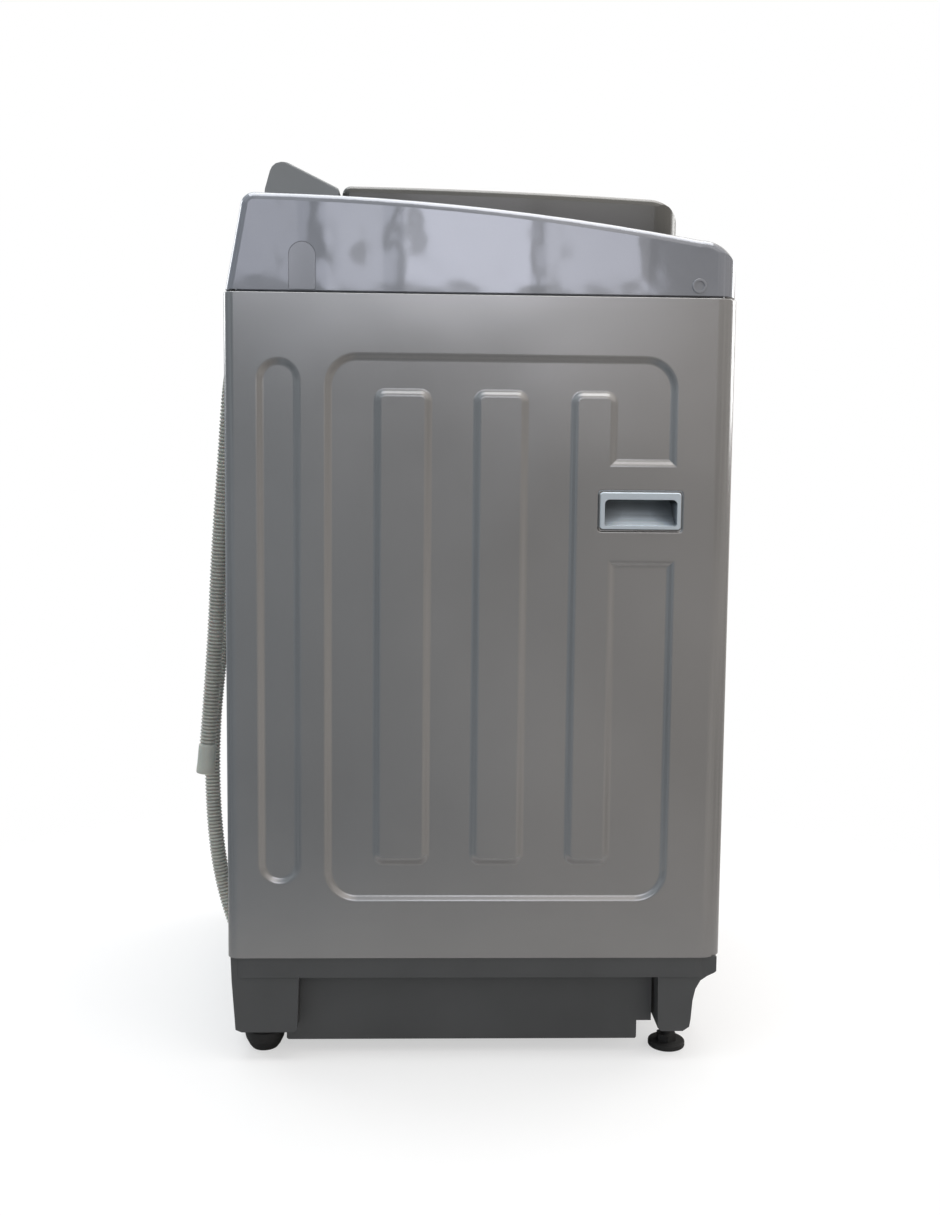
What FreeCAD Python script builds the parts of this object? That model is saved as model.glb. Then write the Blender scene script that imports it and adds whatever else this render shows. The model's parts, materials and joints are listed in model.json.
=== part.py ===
import FreeCAD, Part
import math
import os

# Top-load washing machine. Millimetres, +Z up, the front faces -Y.
# The origin is on the floor, at the centre of the machine's footprint.
# Depths are written as u, which runs from the cabinet's middle towards the front.
# Heights are drawn from a datum just under the floor, and export moves every piece down by FLOOR.

os.makedirs("parts", exist_ok=True)

# ---------------------------------------------------------------- driving dimensions
CAB_W = 550.0            # cabinet width
CAB_D = 563.0            # cabinet depth
FLOOR = 9.0              # height of the floor above the drawing's datum
BASE_H = 132.0           # the sheet-metal cabinet's lower edge
SHEET_TOP = 872.2        # top of the sheet-metal cabinet
SHEET_T = 1.2            # cabinet sheet
REAR_OUT = 32.0          # how far the hose holder and the drain spigot stand behind the cabinet
WALL = 3.0               # moulded plastic walls
HALF_W = CAB_W / 2
HALF_D = CAB_D / 2
Y_MID = -REAR_OUT / 2
FRONT_CORNER = 24.0      # vertical corner radii of the cabinet
REAR_CORNER = 12.0
HOUSING_HALF = HALF_W - 1.2
SEAM = 2.4               # shadow gap between cabinet and top housing

RIM_REAR = 978.5         # top housing's rim height at the rear and at the front
RIM_FRONT = 934.0
POCKET_REAR = -160.0     # the lid's pocket in the top housing
POCKET_FRONT = 227.5
POCKET_HALF = 226.0
POCKET_DEEP = 28.0
THROAT_R = 172.0         # laundry mouth
THROAT_U = 25.0
THROAT_BACK = -118.0     # the mouth's flat rear wall
THROAT_LOW = 842.0

LID_HALF = 222.0
HINGE_U = -146.5         # lid hinge axis
HINGE_Z = 989.0
BARREL_R = 9.8
LID_T = 2.6
LID_ROUND = 8.0

LID_FRONT = 223.5
FASCIA_TILT = 25.64      # slope of the control fascia, degrees
FASCIA_U = -188.0        # middle of the sloping face
FASCIA_Z = 1006.0
FASCIA_HALF = 214.0
FASCIA_LONG = 44.0

TUB_R = 250.0
TUB_LOW = 250.0
TUB_TOP = 800.0
BASKET_R = 231.0
ROD_AT = 215.0           # suspension rods, from the centre line each way
SEAT_Z = 176.0           # rod's lower seat
CUP_Z = 236.0            # underside of the tub's suspension cups

FOOT_X = 230.0
FRONT_FOOT_U = 228.5
REAR_FOOT_U = -245.0
LEG_LOW = 44.0           # underside of the legs

HOSE_D = 20.5            # corrugated drain hose
CUFF_LONG = 35.0

PRESS_STEPS = 6          # facets in the slope of a pressed figure
PRESS_BAND = 8.6         # width of a pressed figure's slope
FRAME_DEEP = 3.4         # pressed depth of the side's large frame
REAR_RIB_DEEP = 2.8      # of the narrow rear rib
SEAT_DEEP = 1.2          # of the flat seat round each carry handle
HANDLE = (131.5, 221.5, 619.0, 660.5)        # bezel outline: u, u, z, z
MOUTH = (136.8, 217.2, 623.5, 652.6)         # the finger opening in it
RIB_SPANS = ((-118.0, -54.0), (-9.0, 52.0), (98.0, 150.0))    # upright ribs on each side, u and u

SCREW_HEIGHTS = (160.0, 340.0, 520.0, 700.0, 850.0)    # rear panel screws
GLAND_X = 215.0          # power cord gland
GLAND_Z = 812.0
INLETS = (122.0, 168.0)  # water inlets, from the centre line
INLET_Z = 916.0
DRAWER = (80.0, -225.0, -119.5, 881.0, 924.0)   # half width, u, u, z, z
LID_LATCH_X = 120.0      # lid lock
CONSOLE_HALF = 235.0

RING_LOW = 108.5         # underside of the base's ring
LOOP_X = -15.0           # the hose's loop behind the cabinet
PULLEY_Z = 138.0         # belt drive
DRIVE_R = 70.0
MOTOR_R = 28.0


def at(u):
    return Y_MID - u


def vec(x, u, z):
    return FreeCAD.Vector(x, at(u), z)


X_DIR = FreeCAD.Vector(1, 0, 0)
Y_DIR = FreeCAD.Vector(0, 1, 0)
Z_DIR = FreeCAD.Vector(0, 0, 1)


# ---------------------------------------------------------------- small builders
def box(x0, x1, u0, u1, z0, z1):
    corner = FreeCAD.Vector(x0, at(u1), z0)
    return Part.makeBox(x1 - x0, u1 - u0, z1 - z0, corner)


def rod_z(x, u, z0, z1, r):
    return Part.makeCylinder(r, z1 - z0, vec(x, u, z0), Z_DIR)


def rod_x(u, z, x0, x1, r):
    return Part.makeCylinder(r, x1 - x0, vec(x0, u, z), X_DIR)


def rod_back(x, z, u_from, length, r):
    """A round bar that starts at depth u_from and runs towards the rear."""
    return Part.makeCylinder(r, length, vec(x, u_from, z), Y_DIR)


def ring_z(x, u, z0, z1, r_out, r_in):
    return rod_z(x, u, z0, z1, r_out).cut(rod_z(x, u, z0 - 1, z1 + 1, r_in))


def join(shapes):
    shapes = list(shapes)
    if len(shapes) == 1:
        return shapes[0]
    return shapes[0].multiFuse(shapes[1:]).removeSplitter()


def group(shapes):
    return Part.makeCompound(list(shapes))


def mirror(shape):
    return shape.mirror(FreeCAD.Vector(0, 0, 0), X_DIR)


def both_sides(shape):
    return group([shape, mirror(shape)])


def round_rect(a0, a1, b0, b1, radii, place):
    """A closed wire round a rectangle; radii are at (a0,b0), (a1,b0), (a1,b1), (a0,b1)."""
    corners = [(a0, b0), (a1, b0), (a1, b1), (a0, b1)]
    heads = [(1, 0), (0, 1), (-1, 0), (0, -1)]
    edges = []
    for i in range(4):
        ca, cb = corners[i]
        r = radii[i]
        ina, inb = heads[i - 1]
        outa, outb = heads[i]
        start = (ca - ina * r, cb - inb * r)
        end = (ca + outa * r, cb + outb * r)
        centre = (ca - ina * r + outa * r, cb - inb * r + outb * r)
        bulge = r * math.sqrt(0.5)
        middle = (centre[0] + (ina - outa) * bulge, centre[1] + (inb - outb) * bulge)
        edges.append(Part.Arc(place(*start), place(*middle), place(*end)).toShape())
        nxt = corners[(i + 1) % 4]
        r_next = radii[(i + 1) % 4]
        run_end = (nxt[0] - outa * r_next, nxt[1] - outb * r_next)
        if math.dist(end, run_end) > 0.01:
            edges.append(Part.makeLine(place(*end), place(*run_end)))
    return Part.Wire(edges)


def plan_prism(half_x, u0, u1, r_rear, r_front, z0, z1):
    wire = round_rect(-half_x, half_x, u0, u1, (r_rear, r_rear, r_front, r_front),
                      lambda x, u: vec(x, u, z0))
    return Part.Face(wire).extrude(FreeCAD.Vector(0, 0, z1 - z0))


def side_rect(u0, u1, z0, z1, r, x):
    return round_rect(u0, u1, z0, z1, (r, r, r, r), lambda u, z: vec(x, u, z))


def side_block(u0, u1, z0, z1, r, x0, x1):
    return Part.Face(side_rect(u0, u1, z0, z1, r, x0)).extrude(FreeCAD.Vector(x1 - x0, 0, 0))


def side_prism(points, x0, x1):
    """A prism across the machine from a side outline of (u, z) points."""
    places = [vec(x0, u, z) for u, z in points]
    wire = Part.makePolygon(places + [places[0]])
    return Part.Face(wire).extrude(FreeCAD.Vector(x1 - x0, 0, 0))


def smooth_step(t):
    return t * t * (3 - 2 * t)


def export(shape, node):
    shape.translate(FreeCAD.Vector(0, 0, -FLOOR))
    shape.exportStep("parts/" + node + ".step")
    print(node, len(shape.Solids), shape.isValid(), round(shape.Volume / 1000, 1))


# ---------------------------------------------------------------- cabinet sheet metal


def pressed(u0, u1, z0, z1, r, depth, raised, band=PRESS_BAND):
    """The hollow of a soft-edged pressing in the left side, or the raised pad inside one."""
    wires = []
    face_x = -HALF_W
    spare = 1.0
    steps = [k / PRESS_STEPS for k in range(PRESS_STEPS + 1)]
    for t in steps:
        inset = band * t
        deep = depth * (1 - smooth_step(t) if raised else smooth_step(t))
        wires.append(side_rect(u0 + inset, u1 - inset, z0 + inset, z1 - inset,
                               max(r - inset, 3.0), face_x + deep))
    if raised:
        first = side_rect(u0, u1, z0, z1, r, face_x + depth + spare)
        last = side_rect(u0 + band, u1 - band, z0 + band, z1 - band, max(r - band, 3.0),
                         face_x - 2 * spare)
        wires = [first] + wires + [last]
    else:
        wires = [side_rect(u0, u1, z0, z1, r, face_x - spare)] + wires
    return Part.makeLoft(wires, True, True)


def side_pressings():
    frame = pressed(-172, 216, 197, 809, 36, FRAME_DEEP, False)
    for u0, u1 in RIB_SPANS:
        frame = frame.cut(pressed(u0, u1, 239, 771, 13, FRAME_DEEP, True))
    island = pressed(116, 247, 577, 697, 26, FRAME_DEEP, True)
    frame = frame.cut(island)
    rear_rib = pressed(-246, -197, 217, 803, 24.4, REAR_RIB_DEEP, False)
    u0, u1, z0, z1 = HANDLE
    seat = pressed(u0 - 3.2, u1 + 3.2, z0 - 3.2, z1 + 3.2, 5, SEAT_DEEP, False, 2.6)
    return [frame, rear_rib, seat]


def cabinet_wrap():
    skin = plan_prism(HALF_W, -HALF_D, HALF_D, REAR_CORNER, FRONT_CORNER, BASE_H, SHEET_TOP)
    skin = skin.makeFillet(1.1, [e for e in skin.Edges if e.BoundBox.ZMin > SHEET_TOP - 0.1])
    inner_half = HALF_W - SHEET_T
    inner_deep = HALF_D - SHEET_T
    skin = skin.cut(plan_prism(inner_half, -inner_deep, inner_deep, REAR_CORNER - SHEET_T,
                               FRONT_CORNER - SHEET_T, BASE_H - 1, SHEET_TOP + 1))
    skin = skin.cut(box(-250, 250, -HALF_D - 1, -HALF_D + 4, BASE_H - 1, SHEET_TOP + 1))
    flange = plan_prism(inner_half, -inner_deep, inner_deep, 10, 22, SHEET_TOP - SHEET_T, SHEET_TOP)
    flange = flange.cut(plan_prism(inner_half - 14, -inner_deep + 14, inner_deep - 14, 4, 10,
                                   SHEET_TOP - 3, SHEET_TOP + 3))
    flange = flange.cut(box(-250, 250, -HALF_D - 1, -HALF_D + 16, SHEET_TOP - 3, SHEET_TOP + 3))
    under = []
    for side in (-1, 1):
        low, high = sorted((side * 230, side * 264))
        under.append(box(low, high, -HALF_D + 1.6, -HALF_D + 2.8, BASE_H, SHEET_TOP - 2))
    shell = join([skin, flange])
    for tool in side_pressings():
        inward = tool.copy()
        inward.translate(FreeCAD.Vector(SHEET_T, 0, 0))
        for turned, cut in ((inward, tool), (mirror(inward), mirror(tool))):
            shell = shell.fuse(turned).cut(cut)
    u0, u1, z0, z1 = HANDLE
    for x0, x1 in ((-HALF_W - 5, -HALF_W + 9), (HALF_W - 9, HALF_W + 5)):
        shell = shell.cut(side_block(u0 + 2.6, u1 - 2.6, z0 + 2.6, z1 - 2.6, 3, x0, x1))
    reach = [box(side * 262 - 3, side * 262 + 3, -HALF_D + 1.2, -HALF_D + 2.2, BASE_H + 6, SHEET_TOP - 6)
             for side in (-1, 1)]
    return join([shell] + under + reach)


def rear_panel():
    """The screwed back, with a stiffening frame pressed inwards and a row of vent slots."""
    plate = box(-249.4, 249.4, -HALF_D, -HALF_D + SHEET_T, BASE_H, SHEET_TOP)
    deep = 5.0
    steps = []
    for t in [k / PRESS_STEPS for k in range(PRESS_STEPS + 1)]:
        inset = 14.0 * t
        level = -HALF_D + deep * smooth_step(t)
        steps.append(round_rect(-195 + inset, 195 - inset, 250 + inset, 815 - inset,
                                (30 - inset,) * 4, lambda x, z, level=level: vec(x, level, z)))
    first = round_rect(-195, 195, 250, 815, (30,) * 4, lambda x, z: vec(x, -HALF_D - 1, z))
    hollow = Part.makeLoft([first] + steps, True, True)
    inward = hollow.copy()
    inward.translate(FreeCAD.Vector(0, -SHEET_T, 0))
    plate = plate.fuse(inward).cut(hollow)
    for k in range(9):
        z = 168 + 9 * k
        slot = box(90, 190, -HALF_D - 2, -HALF_D + 4, z, z + 3)
        plate = plate.cut(slot)
    for side in (-1, 1):
        for z in SCREW_HEIGHTS:
            plate = plate.cut(rod_back(side * 238, z, -HALF_D + 3, 6, 2.6))
    plate = plate.cut(rod_back(GLAND_X, GLAND_Z, -HALF_D + 3, 6, 11.4))
    return plate


def rear_panel_screws():
    """Washer-head screws through the back into the cabinet's folded edges."""
    screws = []
    for side in (-1, 1):
        for z in SCREW_HEIGHTS:
            head = rod_back(side * 238, z, -HALF_D, 2.2, 5.5)
            shank = rod_back(side * 238, z, -HALF_D + 1.6, 1.6, 2.0)
            slot = box(side * 238 - 3.2, side * 238 + 3.2, -HALF_D - 3, -HALF_D - 1.2, z - 0.5, z + 0.5)
            cross = box(side * 238 - 0.5, side * 238 + 0.5, -HALF_D - 3, -HALF_D - 1.2, z - 3.2, z + 3.2)
            screws.append(head.fuse(shank).cut(slot).cut(cross))
    return group(screws)


# ---------------------------------------------------------------- base
LEG_FRONT = ((198, 132), (276, 132), (276, 115), (273.5, 113), (266, 109.5), (258, 104), (252.5, 94),
             (249.5, 80), (247.8, 58), (246.4, 49), (239, LEG_LOW), (214, LEG_LOW), (210, 48),
             (209, RING_LOW), (198, RING_LOW))
LEG_REAR = ((-278, 132), (-199, 132), (-199, RING_LOW), (-201, RING_LOW), (-203, 48), (-206.5, LEG_LOW),
            (-266, LEG_LOW), (-273, 47), (-277, 104))
LEG_OUT = HALF_W - 3.0
LEG_IN = HALF_W - 64.0


def base_frame():
    """The moulded ring under the cabinet, with a leg at each corner and ribs between."""
    ring = plan_prism(HALF_W - 1.5, -HALF_D + 3, HALF_D - 5, 14, 26, RING_LOW, BASE_H)
    ring = ring.cut(plan_prism(HALF_W - 34, -HALF_D + 36, HALF_D - 38, 10, 14, 100, BASE_H + 1))
    parts = [ring]
    for outline in (LEG_FRONT, LEG_REAR):
        leg = side_prism(outline, -LEG_OUT, -LEG_IN)
        parts.append(leg)
        parts.append(mirror(leg))
    front_curve = [point for point in LEG_FRONT if point[0] > 244]
    inner = [(u - WALL, z) for u, z in reversed(front_curve)]
    parts.append(side_prism(front_curve + inner, -LEG_IN - 1, LEG_IN + 1))
    parts.append(box(-LEG_IN - 1, LEG_IN + 1, -HALF_D + 3, -HALF_D + 6, 26, RING_LOW + 1))
    frame = join(parts)
    for x in (-FOOT_X, FOOT_X):
        frame = frame.cut(rod_z(x, FRONT_FOOT_U, 30, 84, 5.35))
        frame = frame.cut(rod_z(x, REAR_FOOT_U, 30, 64, 9.0))
    vent = [box(x - 3, x + 3, -HALF_D, -HALF_D + 9, 60, 96) for x in range(70, 171, 14)]
    for slot in vent:
        frame = frame.cut(slot)
    return frame


def base_side_skirts():
    """Recessed panels that close the base between its legs."""
    outline = ((-205, RING_LOW - 0.5), (-217, 96), (-217.5, 28), (-215.5, 26), (187.5, 26), (189, 27.5),
               (189, 47.5), (206, 47.5), (206, RING_LOW - 0.5))
    panel = side_prism(outline, -HALF_W + 25, -HALF_W + 25 + WALL)
    for u in range(-168, 170, 48):
        panel = panel.fuse(box(-HALF_W + 25 + WALL, -HALF_W + 40, u, u + 2.5, 30, RING_LOW - 0.5))
    for outline in (LEG_FRONT, LEG_REAR):
        panel = panel.cut(side_prism(outline, -LEG_OUT, -LEG_IN))
    return both_sides(panel.removeSplitter())


def turned(profile, x, u):
    """A solid of revolution about a vertical line, from (radius, z) points."""
    places = [vec(x + r, u, z) for r, z in profile]
    return Part.Face(Part.makePolygon(places + [places[0]])).revolve(vec(x, u, 0), Z_DIR, 360)


def rear_feet():
    """Fixed rubber feet, pressed into the rear legs."""
    profile = ((0, FLOOR), (12, FLOOR), (15, FLOOR + 1.2), (18, FLOOR + 5), (22, FLOOR + 13),
               (23.4, FLOOR + 19), (23.4, FLOOR + 24), (22, FLOOR + 25), (22, FLOOR + 28),
               (24, FLOOR + 29), (24, LEG_LOW - 0.3), (8.6, LEG_LOW - 0.3), (8.6, 62), (0, 62))
    return group([turned(profile, x, REAR_FOOT_U) for x in (-FOOT_X, FOOT_X)])


def front_foot(side):
    """Adjustable foot: a ribbed disc on a threaded stem, with its lock nut."""
    x = side * FOOT_X
    disc = rod_z(x, FRONT_FOOT_U, FLOOR, FLOOR + 7, 21.5)
    disc = disc.makeFillet(1.8, [e for e in disc.Edges if e.Length > 100])
    stem = rod_z(x, FRONT_FOOT_U, FLOOR + 6, 66, 5.3)
    for z in range(30, 40, 2):
        stem = stem.cut(ring_z(x, FRONT_FOOT_U, z, z + 1.0, 7, 4.7))
    nut = nut_shape(x, FRONT_FOOT_U, FLOOR + 6.5, FLOOR + 15, 12)
    return join([disc, stem, nut])


def nut_shape(x, u, z0, z1, r):
    places = [FreeCAD.Vector(x + r * math.cos(math.radians(60 * k)),
                             at(u) + r * math.sin(math.radians(60 * k)), z0) for k in range(7)]
    return Part.Face(Part.makePolygon(places)).extrude(FreeCAD.Vector(0, 0, z1 - z0))


# ---------------------------------------------------------------- top housing
def rim(u):
    """Height of the top housing's rim at depth u."""
    t = (u + 246) / 491
    return RIM_REAR - (RIM_REAR - RIM_FRONT) * (0.09 * t + 0.91 * t * t)


def pocket_floor(u):
    """Height of the lid pocket's sloping floor."""
    rear = rim(POCKET_REAR) - POCKET_DEEP
    front = rim(POCKET_FRONT) - POCKET_DEEP
    return rear + (front - rear) * (u - POCKET_REAR) / (POCKET_FRONT - POCKET_REAR)


def housing_outline(grow, x):
    """The side outline of the top housing, moved inwards by grow where it is positive."""
    g = grow
    rear_low = vec(x, -279 + g, SHEET_TOP + SEAM - (8 if g else 0))
    rear_up = vec(x, -262.5 + g, 963)
    rear_mid = vec(x, -257.4 + g * 0.7, 974.4 - g * 0.7)
    top_start = vec(x, -245, rim(-245) - g)
    top = [vec(x, u, rim(u) - g) for u in (-245, -150, -50, 50, 150, 238)]
    front_mid = vec(x, 266.6 - g * 0.7, 924.0 - g * 0.7)
    front_up = vec(x, 278.7 - g, 897)
    front_low = vec(x, 280 - g, SHEET_TOP + SEAM - (8 if g else 0))
    curve = Part.BSplineCurve()
    curve.interpolate(top)
    edges = [Part.makeLine(rear_low, rear_up),
             Part.Arc(rear_up, rear_mid, top_start).toShape(),
             curve.toShape(),
             Part.Arc(top[-1], front_mid, front_up).toShape(),
             Part.makeLine(front_up, front_low),
             Part.makeLine(front_low, rear_low)]
    return Part.Wire(edges)


def pocket_volume(grow):
    """The space that the lid lies in, with a finger scoop at the front, widened by grow."""
    half = POCKET_HALF + grow
    slope = [(POCKET_REAR - grow, pocket_floor(POCKET_REAR) - grow), (260, pocket_floor(260) - grow),
             (260, 1010), (POCKET_REAR - grow, 1010)]
    body = side_prism(slope, -half, half)
    body = body.common(plan_prism(half, POCKET_REAR - grow, POCKET_FRONT + grow, 6, 34, 880, 1012))
    scoop = plan_prism(78 + grow, 200, 249 + grow, 4, 22, pocket_floor(POCKET_FRONT) + 4 - grow, 1012)
    return body.fuse(scoop)


def throat(grow, z0, z1):
    """The laundry mouth: a round well with a flat rear wall."""
    well = rod_z(0, THROAT_U, z0, z1, THROAT_R + grow)
    return well.cut(box(-300, 300, -300, THROAT_BACK - grow, z0 - 1, z1 + 1))


def inlet_recess(grow):
    return box(92 - grow, 198 + grow, -300, -238 + grow, 888 - grow, 944 + grow)


def top_housing():
    """The moulded top: outer skin, lid pocket, laundry mouth and the recess for the inlets."""
    body = Part.Face(housing_outline(0, -HOUSING_HALF)).extrude(FreeCAD.Vector(2 * HOUSING_HALF, 0, 0))
    edges = []
    for edge in body.Edges:
        bb = edge.BoundBox
        flat_x = bb.XLength < 0.01
        if flat_x and bb.ZMax > SHEET_TOP + SEAM + 0.5:
            edges.append(edge)
    body = body.makeFillet(9.0, edges)
    corner = plan_prism(HOUSING_HALF, -283, 280, REAR_CORNER, FRONT_CORNER, 860, 1020)
    body = body.common(corner)
    hollow = Part.Face(housing_outline(WALL, -HALF_W + 5.5)).extrude(FreeCAD.Vector(CAB_W - 11, 0, 0))
    hollow = hollow.common(plan_prism(HALF_W - 5.5, -HALF_D, HALF_D - 6, 10, 20, 850, 1020))
    keep = pocket_volume(WALL).fuse(inlet_recess(WALL))
    hollow = hollow.cut(keep)
    shell = body.cut(pocket_volume(0)).cut(inlet_recess(0)).cut(hollow)
    shell = shell.cut(throat(0, 830, 990))
    well = throat(WALL, THROAT_LOW, 985).cut(throat(0, THROAT_LOW - 1, 990))
    well = well.cut(pocket_volume(0))
    low = SHEET_TOP + SEAM
    web = plan_prism(HALF_W - 4, -HALF_D + 4, HALF_D - 4, 9, 20, low + 0.4, low + 2.6)
    web = web.cut(plan_prism(HALF_W - 16, -HALF_D + 16, HALF_D - 16, 5, 10, low, low + 3))
    lip = plan_prism(HALF_W - 12, -HALF_D + 12, HALF_D - 12, 6, 14, SHEET_TOP, low + 1)
    lip = lip.cut(plan_prism(HALF_W - 15, -HALF_D + 15, HALF_D - 15, 5, 11, SHEET_TOP - 1, low + 2))
    shell = join([shell, well, web, lip] + hinge_towers())
    half, u0, u1, z0, z1 = DRAWER
    shell = shell.cut(box(-half - 1.2, half + 1.2, u1 - 3.5, u1 + 6, z0 - 1.2, z1 + 1.2))
    for x in INLETS:
        shell = shell.cut(rod_back(x, INLET_Z, -225, 20, 17.6))
    for side in (-1, 1):
        shell = shell.cut(rod_x(236, 885, side * 262 - 15, side * 262 + 15, 6.6))
    seat = screw_cover(0.4, -HALF_W - 2, -HALF_W + 2.4)
    shell = shell.cut(seat).cut(mirror(seat))
    for x in (-LID_LATCH_X, LID_LATCH_X):
        shell = shell.cut(box(x - 7, x + 7, 196, 210, 890, 930))
    return shell


def hinge_towers():
    """Two brackets inside the lid that carry its hinge pins."""
    top = HINGE_Z + 5.2
    leg = ((HINGE_U, top), (-122, top), (-122, 940), (-134, 940), (-134, 984.3), (HINGE_U, 984.3))
    towers = []
    for x0 in (196.0, -204.0):
        arm = side_prism(leg, x0, x0 + 8)
        arm = arm.fuse(rod_x(HINGE_U, HINGE_Z, x0, x0 + 8, 5.2))
        towers.append(arm.cut(rod_x(HINGE_U, HINGE_Z, x0 - 1, x0 + 9, 2.5)))
    return towers


def hinge_pins():
    pins = []
    for side in (-1, 1):
        x0 = 190.0 if side > 0 else -212.0
        pins.append(rod_x(HINGE_U, HINGE_Z, x0, x0 + 22, 2.5))
    return group(pins)


def front_screw_caps():
    """Round caps over the housing's front screws."""
    face = -HALF_W + 1.2
    cap = rod_x(236, 885, face - 0.9, face + 5, 8.0)
    cap = cap.makeFillet(0.7, [e for e in cap.Edges if e.BoundBox.XMax < face - 0.8])
    cap = cap.cut(rod_x(236, 885, face - 1, face + 0.4, 5.4))
    cap = cap.cut(ring_x(236, 885, face, face + 6, 12, 6.4))
    return both_sides(cap)


def ring_x(u, z, x0, x1, r_out, r_in):
    return rod_x(u, z, x0, x1, r_out).cut(rod_x(u, z, x0 - 1, x1 + 1, r_in))


def screw_cover(grow, x0, x1):
    """The outline of a rear screw cover, between two depths, widened by grow."""
    r = 14.05 + grow
    wire = round_rect(-209.6 - grow, -181.4 + grow, 875.4 - 2 * grow, 925.6 + grow, (1.5, 1.5, r, r),
                      lambda u, z: vec(x0, u, z))
    return Part.Face(wire).extrude(FreeCAD.Vector(x1 - x0, 0, 0))


def rear_screw_covers():
    """Oblong snap-in covers beside the rear corners, nearly flush with the skin."""
    return both_sides(screw_cover(0, -HALF_W + 0.95, -HALF_W + 2.4))


# ---------------------------------------------------------------- console
CONSOLE = ((-241, 979.1), (-240, 990), (-234.4, 1009.5), (-232, 1014), (-228, 1017.4), (-222.5, 1018.9),
           (-217, 1019), (-213, 1018), (-163, 994), (-159.6, 992), (-158.4, 989), (-160, 983),
           (-166, 977.6), (-200, 978.8))


def tilted(shape):
    """Moves a shape drawn flat about the origin onto the sloping fascia."""
    moved = shape.copy()
    moved.rotate(FreeCAD.Vector(0, 0, 0), X_DIR, FASCIA_TILT)
    moved.translate(vec(0, FASCIA_U, FASCIA_Z))
    return moved


def flat_round(half_x, half_y, r, z0, z1, cx=0.0, cy=0.0):
    wire = round_rect(cx - half_x, cx + half_x, cy - half_y, cy + half_y, (r,) * 4,
                      lambda x, y: FreeCAD.Vector(x, y, z0))
    return Part.Face(wire).extrude(FreeCAD.Vector(0, 0, z1 - z0))


BUTTONS = {
    "power_button": (-186.0, 0.0, 11.0, 11.0),
    "program_button": (-142.0, 0.0, 15.0, 8.0),
    "water_level_button": (-104.0, 0.0, 15.0, 8.0),
    "soak_button": (-66.0, 0.0, 15.0, 8.0),
    "rinse_button": (66.0, 0.0, 15.0, 8.0),
    "spin_button": (104.0, 0.0, 15.0, 8.0),
    "delay_button": (142.0, 0.0, 15.0, 8.0),
    "start_pause_button": (186.0, 0.0, 11.0, 11.0),
}


def button_blank(name, grow, z0, z1):
    x, y, half_x, half_y = BUTTONS[name]
    r = min(half_x, half_y) - 0.02
    return flat_round(half_x + grow, half_y + grow, r + grow, z0, z1, x, y)


def console_shell():
    solid = side_prism(CONSOLE, -CONSOLE_HALF, CONSOLE_HALF)
    rounded = [e for e in solid.Edges if e.BoundBox.XLength < 0.01 and e.BoundBox.ZMin > 993]
    solid = solid.makeFillet(3.0, [e for e in rounded if e.Length > 12])
    inner = ((-237.5, 970), (-236.5, 990), (-231.2, 1008), (-227, 1013.4), (-221.5, 1015.2), (-214.5, 1014.2),
             (-166, 991), (-162.6, 988), (-164, 984.5), (-170, 973))
    solid = solid.cut(side_prism(inner, -CONSOLE_HALF + 4.5, CONSOLE_HALF - 4.5))
    seat = tilted(flat_round(FASCIA_HALF + 0.3, FASCIA_LONG / 2 + 0.3, 6.3, -2.4, 6))
    ledge = tilted(flat_round(FASCIA_HALF + 2, FASCIA_LONG / 2 + 2, 7, -5.0, -2.4))
    room = tilted(flat_round(FASCIA_HALF - 4, FASCIA_LONG / 2 - 4, 4, -8, 1))
    solid = join([solid, ledge]).cut(seat).cut(room)
    return solid


def control_fascia():
    plate = flat_round(FASCIA_HALF, FASCIA_LONG / 2, 6, -2.4, 0.3)
    plate = plate.makeFillet(0.5, [e for e in plate.Edges if e.BoundBox.ZMin > 0.2])
    for name in BUTTONS:
        plate = plate.cut(button_blank(name, 0.4, -5, 5))
    plate = plate.cut(flat_round(44.2, 14.2, 3.2, -5, 5))
    return tilted(plate)


def display_window():
    pane = flat_round(44, 14, 3, -1.8, 0.1)
    return tilted(pane)


def push_button(name):
    """A crowned cap on a stem, sprung outwards."""
    cap = button_blank(name, 0, -4.6, 1.3)
    cap = cap.makeFillet(0.8, [e for e in cap.Edges if e.BoundBox.ZMin > 1.2])
    x, y, half_x, half_y = BUTTONS[name]
    stem = Part.makeCylinder(2.2, 2.6, FreeCAD.Vector(x, y, -7.0), Z_DIR)
    return tilted(cap.fuse(stem))


def control_board():
    board = flat_round(205, 15, 2, -13.0, -11.4, 0, -1)
    chips = [flat_round(9, 6, 1, -11.5, -9.8, x, 6) for x in (-120, -40, 40, 120)]
    switches = [flat_round(3, 3, 0.5, -11.5, -9.1, BUTTONS[n][0], -1) for n in BUTTONS]
    return tilted(join([board] + chips + switches))


# ---------------------------------------------------------------- lid
LID_TOP = ((HINGE_U, HINGE_Z + BARREL_R), (22.0, 996.2), (187.0, 989.9))


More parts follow.
